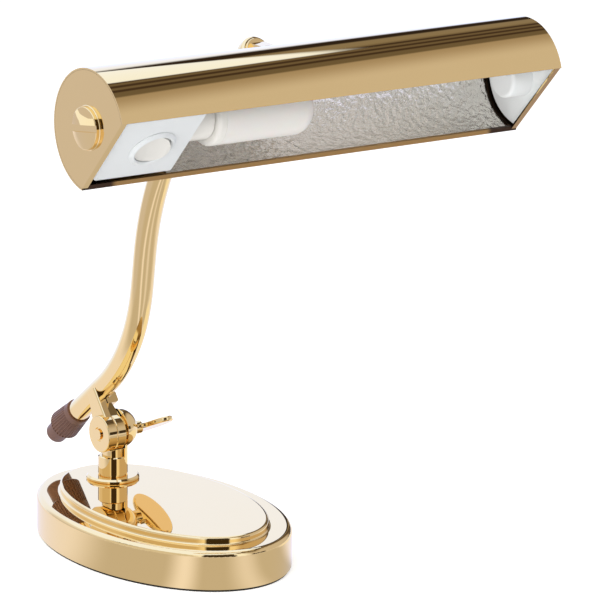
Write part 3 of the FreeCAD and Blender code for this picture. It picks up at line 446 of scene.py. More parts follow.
@dataclass(frozen=True)
class MouldedPlastic(Surface):
    """Moulded plastic with a fine skin and faint flow marks.

    Attributes:
        colour: Lighter colour of the plastic.
        roughness: Least roughness.
        grain: Size of the mould's texture.
        depth: Depth of that texture.
        flow: How much darker the flow marks are.
        glow: Share of light that passes under the skin.
        glow_reach: How far it passes.
        mark: Size of the flow marks.
        haze: Extra roughness of the skin.
    """

    colour: Colour
    roughness: float = 0.34
    grain: float = 0.4 * MM
    depth: float = 0.006 * MM
    flow: float = 0.02
    glow: float = 0.0
    glow_reach: float = 4.0 * MM
    mark: float = 18.0 * MM
    haze: float = 0.08

    def paint(self, sheet: NodeSheet) -> None:
        """Fills the material's sheet.

        Args:
            sheet: The cleared sheet.
        """
        skin = sheet.speckle(self.grain, 2.0)
        deeper = dimmed(self.colour, 1.0 - self.flow)
        sheet.finish_surface(
            Base_Color=sheet.mix(sheet.speckle(self.mark, 2.0), self.colour, deeper),
            Roughness=self.roughness + self.haze * skin,
            Normal=sheet.bump(skin, self.depth),
            Subsurface_Weight=self.glow,
            Subsurface_Scale=self.glow_reach,
        )


@dataclass(frozen=True)
class SoftFoam(Surface):
    """Dense black foam with open pores.

    Attributes:
        colour: Colour between the pores.
        pore_shade: Painted shade in the pores, darker than the foam between them.
        pore: Size of the pores.
        depth: Depth of the pores.
        roughness: Roughness in the pores.
        haze: Extra roughness between them.
    """

    colour: Colour = (0.022, 0.021, 0.021)
    pore_shade: Colour = (0.008, 0.008, 0.008)
    pore: float = 0.9 * MM
    depth: float = 0.2 * MM
    roughness: float = 0.86
    haze: float = 0.1

    def paint(self, sheet: NodeSheet) -> None:
        """Fills the material's sheet.

        Args:
            sheet: The cleared sheet.
        """
        pores = sheet.node("ShaderNodeTexVoronoi", {"feature": "F1"},
                           {"Vector": sheet.place(), "Scale": 1.0 / self.pore})
        sheet.finish_surface(
            # Painted shade: the dents of the pores are darker.
            Base_Color=sheet.mix(pores, self.pore_shade, self.colour),
            Roughness=self.roughness + self.haze * pores,
            Normal=sheet.bump(pores, self.depth),
        )


class Finish(Enum):
    """Every finish on the lamp."""

    PRESSED_BRASS = PolishedBrass("pressed_brass")
    TURNED_JOINT = PolishedBrass("joint_brass", haze=0.02, waviness=0.002 * MM)
    TUBE_BRASS = PolishedBrass("tube_brass", roughness=0.015)
    INNER_BRASS = WorkedMetal("plain_brass", (0.76, 0.58, 0.30), 0.24, 0.3 * MM, 0.01 * MM)
    # Painted shade inside the shade tube and caps: dull raw brass, darker still towards the ends.
    RAW_INSIDE = RawShadedBrass("raw_shaded_inside_brass")
    # Painted shade for the right cap's cut edges: the same dull brass, without the darker ends.
    CUT_EDGE = RawShadedBrass("shaded_cut_edge_brass", unshaded_half=1000.0 * MM)
    CAST_WEIGHT = WorkedMetal("cast_weight", (0.10, 0.10, 0.10), 0.62, 1.2 * MM, 0.2 * MM, 0.4)
    ZINC = WorkedMetal("zinc_plate", (0.63, 0.64, 0.63), 0.28, 0.6 * MM, 0.01 * MM)
    NICKEL = WorkedMetal("nickel_cap", (0.70, 0.69, 0.66), 0.22, 0.5 * MM, 0.01 * MM)
    LINING = HammeredFoil("hammered_lining")
    # One white plastic in two copies: the end plate's is lighter to make up for the shadow it lies
    # in (painted light), and the housing's is darker against the light that falls on it (painted
    # shade).
    WHITE = MouldedPlastic("white_moulding", (0.86, 0.88, 0.875))
    HOUSING_WHITE = MouldedPlastic("shaded_housing_moulding", (0.655, 0.675, 0.68))
    IVORY = MouldedPlastic("ivory_rocker", (0.64, 0.625, 0.585), 0.3)
    WARM_WHITE = MouldedPlastic("warm_white_moulding", (0.72, 0.70, 0.655), 0.32)
    OPAL = MouldedPlastic("opal_cover", (0.72, 0.695, 0.66), 0.38, flow=0.01, glow=0.2)
    BROWN = MouldedPlastic("brown_gland", (0.20, 0.095, 0.055), 0.36, 0.3 * MM, 0.01 * MM, 0.25)
    NYLON = MouldedPlastic("natural_nylon", (0.80, 0.78, 0.70), 0.4)
    FOAM = SoftFoam("black_foam")

    def material(self) -> bpy.types.Material:
        """The finish's material, made the first time that it is asked for."""
        return bpy.data.materials.get(self.value.name) or self.value.make()


# Meshes

@dataclass
class Workshop:
    """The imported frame, and what every sub-assembly does with it.

    Attributes:
    """

    frame: dict[str, Any]

    def dress(self, finish: Finish, *nodes: str) -> None:
        """Gives carried-over nodes their finish.

        Args:
            finish: The finish for all of their faces.
            nodes: Names of the nodes.
        """
        for name in nodes:
            mesh = self.frame["nodes"][name].data
            mesh.materials.clear()
            mesh.materials.append(finish.material())
            log.info("%s: %s", name, finish.name.lower())

    def dress_faces(self, finish: Finish, node: str, chosen: Callable[[Vector], bool]) -> None:
        """Gives some faces of a dressed node another finish.

        Args:
            finish: The finish for those faces.
            node: Name of the node.
            chosen: Test on a face's middle, in the lamp's frame.
        """
        piece = self.frame["nodes"][node]
        piece.data.materials.append(finish.material())
        added = len(piece.data.materials) - 1
        count = 0
        for face in piece.data.polygons:
            if chosen(piece.matrix_world @ face.center):
                face.material_index = added
                count += 1
        log.info("%s: %d faces %s", node, count, finish.name.lower())

    def add(self, name: str, shape: bmesh.types.BMesh, body: str, finish: Finish,
            slot: str) -> bpy.types.Object:
        """Turns a bmesh into a piece that rides on a body.

        Args:
            name: Name of the piece.
            shape: Its mesh, in the lamp's frame.
            body: Body that carries it.
            finish: Its finish.
            slot: The record's material slot; not used.

        Returns:
            The new piece.
        """
        mesh = bpy.data.meshes.new(name)
        bmesh.ops.recalc_face_normals(shape, faces=shape.faces)
        shape.to_mesh(mesh)
        shape.free()
        mesh.shade_smooth()
        mesh.materials.append(finish.material())
        piece = bpy.data.objects.new(name, mesh)
        bpy.context.scene.collection.objects.link(piece)
        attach(piece, body)
        log.info("%s: built with %d faces on %s", name, len(mesh.polygons), body)
        return piece


@dataclass(frozen=True)
class ShadePlace:
    """Where the shade's axis lies, and how far the shade is turned about it.

    Attributes:
        axis_y: Place of the axis along y; the opening's side is negative.
        axis_z: Height of the axis.
        pitch: How far below the horizontal the opening looks.
    """

    axis_y: float = -0.16952684
    axis_z: float = 0.24789224
    pitch: float = 42.55

    def point(self, x: float, across: float, inward: float) -> Vector:
        """Point in the lamp's frame.

        Args:
            x: Place along the shade.
            across: Distance from the axis towards the rear lip.
            inward: Distance from the axis away from the opening.

        Returns:
            The point.
        """
        turn = math.radians(self.pitch)
        return Vector((x,
                       self.axis_y + across * math.sin(turn) + inward * math.cos(turn),
                       self.axis_z - across * math.cos(turn) + inward * math.sin(turn)))

    def inward(self, spot: Vector) -> float:
        """How far a point lies from the axis, away from the opening."""
        turn = math.radians(self.pitch)
        return (spot.y - self.axis_y) * math.cos(turn) + (spot.z - self.axis_z) * math.sin(turn)

    def from_axis(self, spot: Vector) -> float:
        """How far a point lies from the axis."""
        return math.hypot(spot.y - self.axis_y, spot.z - self.axis_z)


@dataclass(frozen=True)
class HammerMarks:
    """Relief of the lining: close dimples, and a slow swell under them.

    Attributes:
        size: Size of one mark.
        depth: Depth of the marks.
        mean: Height at the mean radius, from 0 to 1.
        warp: How far the marks stray, in marks.
        warp_rate: How fast that straying changes.
        squeeze: How much the pattern is slowed along the shade.
        sharpness: Exponent that narrows the ridges.
        gain: Factor before the ridges are cut off.
        swell: Share of the swell in the height.
        swell_along: Size of the swell along the shade.
        swell_around: Size of the swell round the shade.
        dimple_layer: Layer of the cell pattern.
        swell_layer: Layer of the noise.
    """

    size: float = 2.4 * MM
    depth: float = 0.288 * MM
    mean: float = 0.35
    warp: float = 0.35
    warp_rate: float = 0.8
    squeeze: float = 0.78
    sharpness: float = 1.6
    gain: float = 1.5
    swell: float = 0.25
    swell_along: float = 6.0 * MM
    swell_around: float = 4.5 * MM
    dimple_layer: float = 0.37
    swell_layer: float = 4.0

    def offset(self, x: float, arc: float) -> float:
        """How far the hammered face lies outside the mean radius.

        Args:
            x: Place along the shade.
            arc: Place round the shade.

        Returns:
            The distance in metres, negative towards the axis.
        """
        spot = Vector((x / self.size, arc / self.size, 0.0))
        bent = spot + self.warp * noise.noise_vector(spot * self.warp_rate)
        cell = Vector((bent.x * self.squeeze, bent.y, self.dimple_layer))
        ridge = min(1.0, noise.voronoi(cell)[0][0] ** self.sharpness * self.gain)
        swell = noise.noise(
            Vector((x / self.swell_along, arc / self.swell_around, self.swell_layer)))
        height = ridge * (1.0 - self.swell) + self.swell * swell
        return -self.depth * (height - self.mean)


# Sub-assemblies

@dataclass
class Assembly:
    """Pieces that are put together as one.

    Attributes:
        shop: The workshop.
        looks: The carried-over nodes of each finish.
    """

    shop: Workshop
    looks: ClassVar[dict[Finish, tuple[str, ...]]] = {}

    def dress(self) -> None:
        """Dresses every node."""
        for finish, nodes in self.looks.items():
            self.shop.dress(finish, *nodes)


class Base(Assembly):
    """Pad, weight, pressed shell, rosette, post and the fasteners under it."""

    looks = {Finish.PRESSED_BRASS: ("base_shell",),
             Finish.TURNED_JOINT: ("post_rosette", "post"),
             Finish.FOAM: ("base_pad",),
             Finish.CAST_WEIGHT: ("base_weight",),
             Finish.ZINC: ("fixing_washer", "fixing_nut")}


class BaseJoint(Assembly):
    """Cheek, claw and washer of the clamp, and the thumb screw through them."""

    looks = {Finish.TURNED_JOINT: ("clamp_cheek", "clamp_claw", "tilt_washer", "thumb_screw")}


class Arm(Assembly):
    """Bent tube with its gland below and its collar and eye above."""

    looks = {Finish.TUBE_BRASS: ("arm_tube",),
             Finish.TURNED_JOINT: ("arm_collar", "arm_eye"),
             Finish.BROWN: ("gland_collar", "gland_nose", "gland_spigot")}


class HeadKnuckle(Assembly):
    """Fork, washers, screw and nut of the shade's own joint."""

    looks = {Finish.TURNED_JOINT: ("head_fork", "pivot_screw", "pivot_nut"),
             Finish.NYLON: ("friction_washers",),
             Finish.ZINC: ("shade_saddle", "shade_nut")}


@dataclass
class Shade(Assembly):
    """Slit tube, end caps, coin screws and the hammered lining.

    Attributes:
        place: The shade's place.
        marks: The lining's relief.
        lining_radius: Mean radius of the lining's inner face.
        lining_sheet: Thickness of the lining.
        lining_from: Direction of the lining's rear edge.
        lining_to: Direction of the lining's front edge.
        lining_left: Left end of the lining.
        lining_right: Right end of the lining.
        grid_step: Distance between the lining's points.
        hole_radius: Radius of the hole round the fork's nipple.
        hole_direction: Direction of that hole.
        inner_radius: Radius within which the tube is left raw and darkened as painted shade.
        half_length: Half the shade's length.
        cap_plate: Thickness of the end caps' plates.
        tolerance: How far off its plane a cap's inner face may lie.
        rim_inward: Distance inward beyond which the caps are left raw and darkened as painted
            shade.
        lip_inward: Distance inward below which cut edges lie.
    """

    looks = {Finish.PRESSED_BRASS: ("shade_tube", "end_cap_left", "end_cap_right"),
             Finish.TURNED_JOINT: ("coin_screws", "coin_washers"),
             Finish.INNER_BRASS: ("cap_inserts",),
             Finish.LINING: ("reflector",)}
    place: ShadePlace = ShadePlace()
    marks: HammerMarks = HammerMarks()
    lining_radius: float = 27.18 * MM
    lining_sheet: float = 0.2 * MM
    lining_from: float = -29.7
    lining_to: float = 209.7
    lining_left: float = -77.4 * MM
    lining_right: float = 121.6 * MM
    grid_step: float = 0.75 * MM
    hole_radius: float = 10.0 * MM
    hole_direction: float = 70.5
    inner_radius: float = 27.8 * MM
    half_length: float = 125.0 * MM
    cap_plate: float = 0.9 * MM
    tolerance: float = 0.01 * MM
    rim_inward: float = -14.0 * MM
    lip_inward: float = -14.35 * MM

    def lining_point(self, x: float, arc: float) -> Optional[Vector]:
        """Point of the hammered face.

        Args:
            x: Place along the shade.
            arc: Place round the shade, from the lining's rear edge.

        Returns:
            The point, moved onto the nipple's hole where it lies just inside it, or None where
            it lies well inside.
        """
        hole_arc = math.radians(self.hole_direction - self.lining_from) * self.lining_radius
        from_hole = Vector((x, arc - hole_arc))
        if from_hole.length < self.hole_radius - self.grid_step:
            return None
        if from_hole.length < self.hole_radius:
            from_hole *= self.hole_radius / from_hole.length
            x, arc = from_hole.x, from_hole.y + hole_arc
        angle = math.radians(self.lining_from) + arc / self.lining_radius
        radius = self.lining_radius + self.marks.offset(x, arc)
        return self.place.point(x, radius * math.cos(angle), radius * math.sin(angle))

    def lining_mesh(self) -> bmesh.types.BMesh:
        """Grid of the hammered face, open at the nipple's hole.

        Returns:
            The grid, in the lamp's frame.
        """
        shape = bmesh.new()
        arc_length = math.radians(self.lining_to - self.lining_from) * self.lining_radius
        length = self.lining_right - self.lining_left
        columns, rows = round(length / self.grid_step), round(arc_length / self.grid_step)
        grid: list[list[Optional[bmesh.types.BMVert]]] = []
        for column in range(columns + 1):
            x = self.lining_left + length * column / columns
            points = [self.lining_point(x, arc_length * row / rows) for row in range(rows + 1)]
            grid.append([None if point is None else shape.verts.new(point) for point in points])
        for left, right in zip(grid, grid[1:]):
            for corners in zip(left, left[1:], right[1:], right):
                if None not in corners:
                    shape.faces.new(corners)
        loose = [vert for vert in shape.verts if not vert.link_faces]
        bmesh.ops.delete(shape, geom=loose, context="VERTS")
        return shape

    def build_lining(self) -> None:
        """Makes the hammered lining in place of the plain sheet."""
        piece = self.shop.add("hammered_lining", self.lining_mesh(), "shade", Finish.LINING,
                              "bright_lining")
        first = piece.data.polygons[0]
        outward = (first.center - self.place.point(0.0, 0.0, 0.0)).dot(first.normal)
        sheet = piece.modifiers.new("sheet", "SOLIDIFY")
        sheet.thickness = self.lining_sheet
        sheet.offset = 1.0 if outward > 0 else -1.0
        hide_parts("reflector")

    def in_tube(self, spot: Vector) -> bool:
        """Whether a face of the tube lies in its bore or on its cut edges."""
        return (self.place.from_axis(spot) < self.inner_radius
                or self.place.inward(spot) < self.lip_inward)

    def in_cap(self, spot: Vector, side: int) -> bool:
        """Whether a face of a cap looks into the shade; side is -1 on the left, 1 on the right."""
        plane = self.half_length - self.cap_plate + self.tolerance
        return side * spot.x < plane and self.place.inward(spot) > self.rim_inward

    def dress(self) -> None:
        """Dresses the shade, and leaves what lies inside it raw, dulled and darkened as painted
        shade; the right cap's cut edges get painted shade too.
        """
        super().dress()
        # Painted shade: the bore, the tube's cut edges and the caps' inner faces are dulled and
        # darkened, partly as raw brass and partly as the shadow inside the shade.
        self.shop.dress_faces(Finish.RAW_INSIDE, "shade_tube", self.in_tube)
        self.shop.dress_faces(Finish.RAW_INSIDE, "end_cap_left",
                              lambda spot: self.in_cap(spot, -1))
        self.shop.dress_faces(Finish.RAW_INSIDE, "end_cap_right",
                              lambda spot: self.in_cap(spot, 1))
        # Painted shade: only the right cap's cut edges are dulled, where they lie in shadow; the
        # left cap's stay polished.
        self.shop.dress_faces(Finish.CUT_EDGE, "end_cap_right",
                              lambda spot: self.place.inward(spot) < self.lip_inward)


class SwitchEnd(Assembly):
    """White housing with the round rocker switch, and the plate at the other end."""

    # The housing takes the darker, painted-shade copy of the white plastic; the end plate takes
    # the lighter copy, which makes up for its shadow.
    looks = {Finish.HOUSING_WHITE: ("socket_housing", "switch_body"),
             Finish.WHITE: ("end_plate",),
             Finish.IVORY: ("switch_rocker",),
             Finish.INNER_BRASS: ("switch_blades",)}


class LampAndHolder(Assembly):
    """Tubular lamp in its holder."""

    looks = {Finish.WARM_WHITE: ("lamp_holder", "holder_nut", "lamp_base"),
             Finish.OPAL: ("lamp_cover",),
             Finish.NICKEL: ("lamp_cap",),
             Finish.INNER_BRASS: ("thread_shell", "centre_contact")}


# Studio

class Mirrored(Enum):
    """Brightness of each surface around the lamp, as polished metal mirrors it."""

    PANEL = (1.02, 1.22, 1.85)
    BACKDROP = (0.97, 1.14, 1.72)
    SCREEN = (1.05, 1.15, 1.45)
    GAP = (0.05, 0.038, 0.025)
    SIDE_WALL = (0.72, 0.71, 0.76)
    FRONT_WALL = (0.65, 0.62, 0.67)
    WALL_TOP = (0.40, 0.34, 0.30)
    CEILING = (0.16, 0.13, 0.10)
    JOIST = (0.06, 0.04, 0.03)
    FAR_CEILING = (0.27, 0.23, 0.18)
    VALANCE = (0.03, 0.02, 0.015)
    NEAR_FLOOR = (0.61, 0.585, 0.62)
    LEFT_FLOOR = (0.67, 0.66, 0.80)
    BRIGHT_FLOOR = (0.97, 0.98, 1.24)
    UNDER_FLOOR = (1.0, 0.98, 0.95)


@dataclass(frozen=True)
class Band:
    """Stretch of a value, with soft ends.

    Attributes:
        start: Value at which it starts.
        end: Value at which it ends.
        soft_start: How far past the start it is whole.
        soft_end: How far before the end it begins to fade.
    """

    start: float
    end: float
    soft_start: float
    soft_end: float

    def share(self, value: Socket) -> Socket:
        """How much of the band a value lies in, from 0 to 1."""
        return ((value - self.start).ramp_between(0.0, self.soft_start)
                * (self.end - value).ramp_between(0.0, self.soft_end))


@dataclass(frozen=True)
class MirroredRoom:
    """What polished metal sees above the horizon.

    Heights are degrees from the front over the top to the back, each with where a surface begins
    to show and where only it shows. Bearings are degrees from the viewer round towards +X.

    Attributes:
        wall_top: Heights of the front wall's dim top.
        ceiling: Heights of the ceiling.
        joists: Heights of the joists under the ceiling.
        joist_half: Half of a joist's width.
        joist_soft: How softly a joist begins.
        far_ceiling: Heights of the ceiling's far part.
        valance: Heights of the valance.
        backdrop: Heights of the backdrop.
        low_back: Depths below the front horizon at which the backdrop shows too.
        level_right: Rightward part at which heights are true.
        least_right: Rightward part below which they change no more.
        slant: How much they fall per unit of the rightward part.
        panel_edges: Offset, factors along and across the lamp, and softness of each edge of the
            panel overhead, at a height of 1.
        panel_least: Upward parts over which the panel sets in.
        least_up: Least upward part that its place is worked out with.
        viewer: Bearing of the viewer to the left of the lamp's front.
        screens: Bearings of the screens beside the viewer.
        gap: Bearings of the gap between them.
        right_gap: Bearings of the gap beyond them.
        screen_top: Upward parts over which the screens end.
        right_gap_top: Upward parts over which the right gap ends.
        aside_left: Leftward parts over which the room behind on the left sets in.
        aside_back: Backward parts over which it does so.
        aside_top: Upward parts over which it ends.
        aside_rise: Upward parts over which it gets brighter.
        aside_share: How much of the screens' brightness it takes on.
        side_wall: Leftward parts over which the side wall sets in.
    """

    wall_top: Span = (38.0, 76.0)
    ceiling: Span = (73.0, 77.0)
    joists: tuple[float, ...] = (88.0, 98.0, 108.0)
    joist_half: float = 4.0
    joist_soft: float = 3.0
    far_ceiling: Span = (110.0, 118.0)
    valance: Span = (128.0, 135.0)
    backdrop: Span = (146.0, 156.0)
    low_back: Span = (90.0, 180.0)
    level_right: float = 0.564
    least_right: float = 0.5
    slant: float = 270.0
    panel_edges: tuple[tuple[float, float, float, float], ...] = (
        (0.705, 0.254, -1.0, 0.03), (0.53, 0.65, -1.0, 0.03), (1.35, 0.0, 1.0, 0.1),
        (0.75, 1.0, 0.0, 0.08), (1.6, -1.0, 0.0, 0.08))
    panel_least: Span = (0.30, 0.36)
    least_up: float = 0.05
    viewer: float = 33.4
    screens: Band = Band(-60.0, 60.0, 10.0, 20.0)
    gap: Band = Band(-16.0, 32.0, 5.0, 5.0)
    right_gap: Band = Band(54.0, 84.0, 3.0, 3.0)
    screen_top: Span = (0.65, 0.75)
    right_gap_top: Span = (0.23, 0.26)
    aside_left: Span = (0.05, 0.35)
    aside_back: Span = (0.0, 0.2)
    aside_top: Span = (0.4, 0.5)
    aside_rise: Span = (0.0, 0.5)
    aside_share: float = 0.6
    side_wall: Span = (0.72, 0.84)

    def front_to_back(self, sheet: NodeSheet, toward: Direction) -> Socket:
        """The wall in front, the ceiling and the backdrop.

        Args:
            sheet: The world's sheet.
            toward: Rightward, backward and upward part of the direction.

        Returns:
            The colour in each direction.
        """
        x, y, z = toward
        drift = (x.at_least(self.least_right) - self.level_right) * self.slant
        height = z.angle_from(0.0 - y) - drift
        room = sheet.mix(height.ramp_between(*self.wall_top), Mirrored.FRONT_WALL,
                         Mirrored.WALL_TOP)
        room = sheet.mix(height.ramp_between(*self.ceiling), room, Mirrored.CEILING)
        for joist in self.joists:
            near = self.joist_half - (height - joist).absolute()
            room = sheet.mix(near.ramp_between(0.0, self.joist_soft), room, Mirrored.JOIST)
        for heights, tone in ((self.far_ceiling, Mirrored.FAR_CEILING),
                              (self.valance, Mirrored.VALANCE),
                              (self.backdrop, Mirrored.BACKDROP)):
            room = sheet.mix(height.ramp_between(*heights), room, tone)
        below = (0.0 - height).ramp_between(*self.low_back)
        return sheet.mix(below, room, Mirrored.BACKDROP)

    def beside_viewer(self, sheet: NodeSheet, room: Socket, toward: Direction) -> Socket:
        """Adds the upright bands round the viewer: a dark gap between two bright screens.

        Args:
            sheet: The world's sheet.
            room: Colour of the room without them.
            toward: Rightward, backward and upward part of the direction.

        Returns:
            The colour with the bands.
        """
        x, y, z = toward
        bearing = x.angle_from(0.0 - y) + self.viewer
        low = z.fade_between(*self.screen_top)
        room = sheet.mix(self.screens.share(bearing) * low, room, Mirrored.SCREEN)
        room = sheet.mix(self.gap.share(bearing) * low, room, Mirrored.GAP)
        low = z.fade_between(*self.right_gap_top)
        return sheet.mix(self.right_gap.share(bearing) * low, room, Mirrored.GAP)

    def panel(self, toward: Direction) -> Socket:
        """Share of the panel overhead in a direction.

        Args:
            toward: Rightward, backward and upward part of the direction.

        Returns:
            0 beside the panel and 1 in it.
        """
        x, y, z = toward
        up = z.at_least(self.least_up)
        across, along = x / up, y / up
        inside = z.ramp_between(*self.panel_least)
        for offset, per_along, per_across, soft in self.panel_edges:
            edge = offset + per_along * along + per_across * across
            inside = inside * edge.ramp_between(0.0, soft)
        return inside

    def paint(self, sheet: NodeSheet) -> Socket:
        """The whole room.

        Args:
            sheet: The world's sheet.

        Returns:
            The colour in each direction.
        """
        toward = sheet.split(sheet.node("ShaderNodeTexCoord", output="Generated"))
        room = self.front_to_back(sheet, toward)
        room = self.beside_viewer(sheet, room, toward)
        room = sheet.mix(self.panel(toward), room, Mirrored.PANEL)
        x, y, z = toward
        left = 0.0 - x
        aside = left.ramp_between(*self.aside_left) * y.ramp_between(*self.aside_back)
        aside = aside * z.fade_between(*self.aside_top)
        room = sheet.mix(aside, room, Mirrored.LEFT_FLOOR)
        higher = aside * z.ramp_between(*self.aside_rise) * self.aside_share
        room = sheet.mix(higher, room, Mirrored.SCREEN)
        return sheet.mix(left.ramp_between(*self.side_wall), room, Mirrored.SIDE_WALL)


@dataclass(frozen=True)
class PaleFloor(Surface):
    """Pale floor that holds the lamp's shadow, with zones of light for what mirrors it.

    Attributes:
        colour: Colour of the floor.
        lift: What is added for the camera, so that the floor meets the white behind it.
        away: Direction away from the viewer, as x and y.
        white_from: Distances away over which the backdrop sets in.
        white_half: Half its width where it begins.
        white_flare: How fast it widens.
        white_soft: How soft its sides are.
        centre_y: Place along y that bearings are taken from.
        lit_behind: Bearings from the dark side over which the floor gets lit.
        dark_side: Bearing of the dark side to the left of the lamp's front.
        lit_share: Share of light there.
        patches: Bearing, half width and share of each lit patch in front.
        under_x: Where the floor under the shade is lit, along x.
        under_y: The same along y.
        far_from: Distances over which the floor in front brightens.
        far_ahead: Distances along y over which it does so.
        far_share: How much it brightens.
        left_from: Distances over which the floor on the left sets in.
        left_back: Places along y over which it does so.
        far_left: Distances over which it gets as bright as the screens.
    """

    colour: Colour = (0.80, 0.80, 0.80)
    lift: float = 0.50
    away: tuple[float, float] = (0.57, 0.82)
    white_from: Span = (0.10, 0.35)
    white_half: float = 0.25
    white_flare: float = 0.9
    white_soft: float = 0.15
    centre_y: float = -0.09
    lit_behind: Span = (84.0, 113.0)
    dark_side: float = 28.0
    lit_share: float = 0.9
    patches: tuple[tuple[float, float, float], ...] = ((-60.0, 17.0, 1.0), (0.0, 26.0, 0.65))
    under_x: Band = Band(0.07, 0.27, 0.02, 0.10)
    under_y: Band = Band(-0.15, 0.1, 0.03, 0.05)
    far_from: Span = (0.3, 0.5)
    far_ahead: Span = (0.1, 0.3)
    far_share: float = 0.55
    left_from: Span = (0.25, 0.40)
    left_back: Span = (-0.1, 0.1)
    far_left: Span = (1.0, 1.15)

    def backdrop_share(self, x: Socket, y: Socket) -> Socket:
        """Where the floor runs into the white backdrop.

        Args:
            x: Place along x.
            y: Place along y.

        Returns:
            0 near the lamp and 1 in the white.
        """
        aside, ahead = self.away
        behind = x * aside + y * ahead
        beside = (x * ahead - y * aside).absolute()
        half = behind * self.white_flare + self.white_half
        return behind.ramp_between(*self.white_from) * (half - beside).ramp_between(
            0.0, self.white_soft)

    def lit_zones(self, x: Socket, y: Socket) -> Socket:
        """Share of light on the floor round the base.

        Args:
            x: Place along x.
            y: Place along y.

        Returns:
            The share.
        """
        bearing = x.angle_from(0.0 - (y - self.centre_y))
        share = (bearing + self.dark_side).absolute().ramp_between(
            *self.lit_behind) * self.lit_share
        for middle, half, strength in self.patches:
            near = half - (bearing - middle).absolute()
            share = share + near.ramp_between(0.0, half) * strength
        return share

    def mirrored(self, sheet: NodeSheet) -> Socket:
        """Colour of the floor, as mirrored.

        Args:
            sheet: The floor's sheet.

        Returns:
            The colour at each place.
        """
        x, y, _ = sheet.split(sheet.place())
        colour = sheet.mix(self.lit_zones(x, y), Mirrored.NEAR_FLOOR,
                           Mirrored.BRIGHT_FLOOR)
        under = self.under_x.share(x) * self.under_y.share(y)
        colour = sheet.mix(under, colour, Mirrored.UNDER_FLOOR)
        distance = sheet.node("ShaderNodeVectorMath", {"operation": "LENGTH"},
                              {0: sheet.place()}, output="Value")
        far = distance.ramp_between(*self.far_from) * (0.0 - y).ramp_between(*self.far_ahead)
        colour = sheet.mix(far * self.far_share, colour, Mirrored.BRIGHT_FLOOR)
        leftward = 0.0 - x
        left = leftward.ramp_between(*self.left_from) * y.ramp_between(*self.left_back)
        colour = sheet.mix(left, colour, Mirrored.LEFT_FLOOR)
        far_left = left * leftward.ramp_between(*self.far_left)
        colour = sheet.mix(far_left, colour, Mirrored.SCREEN)
        return sheet.mix(self.backdrop_share(x, y), colour, Mirrored.BACKDROP)

    def paint(self, sheet: NodeSheet) -> None:
        """Fills the floor's sheet.

        Args:
            sheet: The cleared sheet.
        """
        seen = sheet.node("ShaderNodeLightPath", output="Is Camera Ray")
        paint = sheet.node("ShaderNodeBsdfDiffuse", {}, {"Color": self.colour})
        lift = sheet.emission(PLAIN_WHITE, seen * self.lift)
        shown = sheet.node("ShaderNodeAddShader", {}, {0: paint, 1: lift})
        mirrored = sheet.emission(self.mirrored(sheet), 1.0)
        surface = sheet.blend(seen.sibling("Is Glossy Ray"), shown, mirrored)
        sheet.node("ShaderNodeOutputMaterial", {}, {"Surface": surface})


@dataclass(frozen=True)
class SoftLight:
    """Square area light that polished metal doesn't mirror.

    Attributes:
        name: Name of the light.
        place: Where it hangs.
        size: Length of its side.
        power: Power, in watts.
        aim: Point that it looks at.
    """

    name: str
    place: tuple[float, float, float]
    size: float
    power: float
    aim: tuple[float, float, float] = (0.0, -0.1, 0.12)

    def build(self) -> None:
        """Hangs the light."""
        data = bpy.data.lights.new(self.name, "AREA")
        data.shape = "SQUARE"
        data.size = self.size
        data.energy = self.power
        lamp = bpy.data.objects.new(self.name, data)
        lamp.location = self.place
        lamp.rotation_mode = "QUATERNION"
        lamp.rotation_quaternion = (Vector(self.aim) - Vector(self.place)).to_track_quat("-Z", "Y")
        lamp.visible_camera = False
        lamp.visible_glossy = False
        bpy.context.scene.collection.objects.link(lamp)


@dataclass(frozen=True)
class Viewpoint:
    """The camera.

    Attributes:
        place: Where it stands.
        heading: Angle of its line of sight from +Y towards +X.
        dip: How far it looks down.
        roll: Turn about the line of sight.
        lens: Focal length, in millimetres.
        sensor: Width of the sensor, in millimetres.
        clip: Nearest and farthest distance shown.
    """

    place: tuple[float, float, float] = (-1.03177, -1.56297, 0.59050)
    heading: float = 36.322
    dip: float = 14.149
    roll: float = 0.752
    lens: float = 229.06
    sensor: float = 36.0
    clip: Span = (0.05, 50.0)

    def build(self) -> None:
        """Makes the camera."""
        heading, dip, roll = (math.radians(a) for a in (self.heading, self.dip, self.roll))
        ahead = Vector((math.sin(heading) * math.cos(dip), math.cos(heading) * math.cos(dip),
                        -math.sin(dip)))
        level = Vector((math.cos(heading), -math.sin(heading), 0.0))
        above = level.cross(ahead)
        right = level * math.cos(roll) + above * math.sin(roll)
        up = above * math.cos(roll) - level * math.sin(roll)
        data = bpy.data.cameras.new("viewpoint")
        data.lens = self.lens
        data.sensor_width = self.sensor
        data.clip_start, data.clip_end = self.clip
        camera = bpy.data.objects.new("viewpoint", data)
        camera.matrix_world = Matrix.Translation(Vector(self.place)) @ Matrix(
            (right, up, -ahead)).transposed().to_4x4()
        bpy.context.scene.collection.objects.link(camera)
        bpy.context.scene.camera = camera


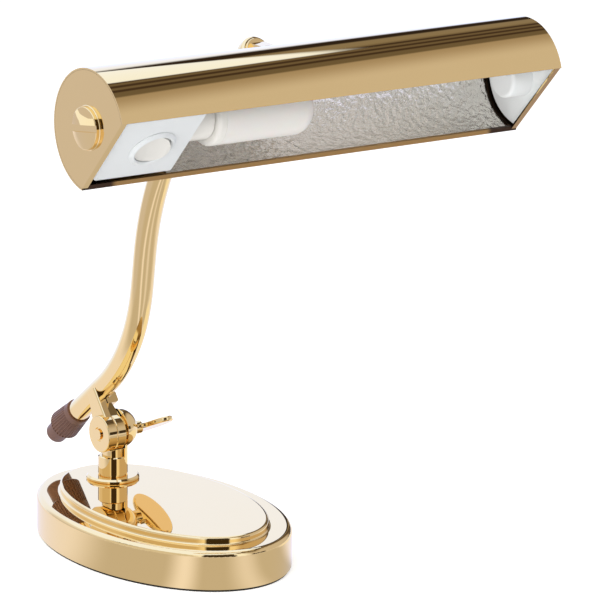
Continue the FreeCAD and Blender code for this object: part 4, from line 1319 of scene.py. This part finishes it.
@dataclass(frozen=True)
class Studio:
    """Pale floor, soft light and the surfaces that polished brass needs around it.

    Attributes:
        floor_half: Half the floor's side.
        ambient: Light of the room on dull surfaces.
        lights: The soft lights.
    """

    floor_half: float = 6.0
    ambient: float = 0.62
    lights: tuple[SoftLight, ...] = (
        SoftLight("panel_above", (-0.5, -0.3, 1.7), 1.6, 17.0),
        SoftLight("panel_front", (-0.9, -1.6, 0.9), 1.2, 3.0),
        SoftLight("panel_low", (-0.6, -0.32, 0.15), 0.25, 1.1),
        SoftLight("panel_under", (-0.03, -0.5, 0.05), 0.3, 0.4))

    def build_air(self) -> None:
        """Makes the world."""
        world = bpy.data.worlds.new("studio_air")
        bpy.context.scene.world = world
        sheet = NodeSheet(world)
        seen = sheet.node("ShaderNodeLightPath", output="Is Camera Ray")
        through = seen.sibling("Is Transmission Ray")
        air = sheet.background(PLAIN_WHITE, self.ambient)
        mirrored = sheet.background(MirroredRoom().paint(sheet), 1.0)
        lit = sheet.blend(seen.sibling("Is Glossy Ray"), air, mirrored)
        lit = sheet.blend(seen + through, lit, sheet.background(PLAIN_WHITE, 1.0))
        sheet.node("ShaderNodeOutputWorld", {}, {"Surface": lit})

    def build_floor(self) -> None:
        """Makes the floor."""
        shape = bmesh.new()
        half = self.floor_half
        corners = [shape.verts.new((x, y, 0.0))
                   for x, y in ((-half, -half), (half, -half), (half, half), (-half, half))]
        shape.faces.new(corners)
        mesh = bpy.data.meshes.new("floor")
        shape.to_mesh(mesh)
        shape.free()
        mesh.materials.append(PaleFloor("pale_floor").make())
        floor = bpy.data.objects.new("floor", mesh)
        bpy.context.scene.collection.objects.link(floor)

    def build(self) -> None:
        """Sets the scene's view and makes everything around the lamp."""
        bpy.context.scene.view_settings.view_transform = "Standard"
        self.build_air()
        self.build_floor()
        for light in self.lights:
            light.build()
        Viewpoint().build()


def main() -> None:
    """Builds the scene in order."""
    logging.basicConfig(level=logging.INFO, format="%(message)s")
    shop = Workshop(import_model())
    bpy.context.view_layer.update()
    Studio().build()
    shade = Shade(shop)
    for assembly in (Base(shop), BaseJoint(shop), Arm(shop), HeadKnuckle(shop), shade,
                     SwitchEnd(shop), LampAndHolder(shop)):
        assembly.dress()
    shade.build_lining()


if __name__ == "__main__":
    main()
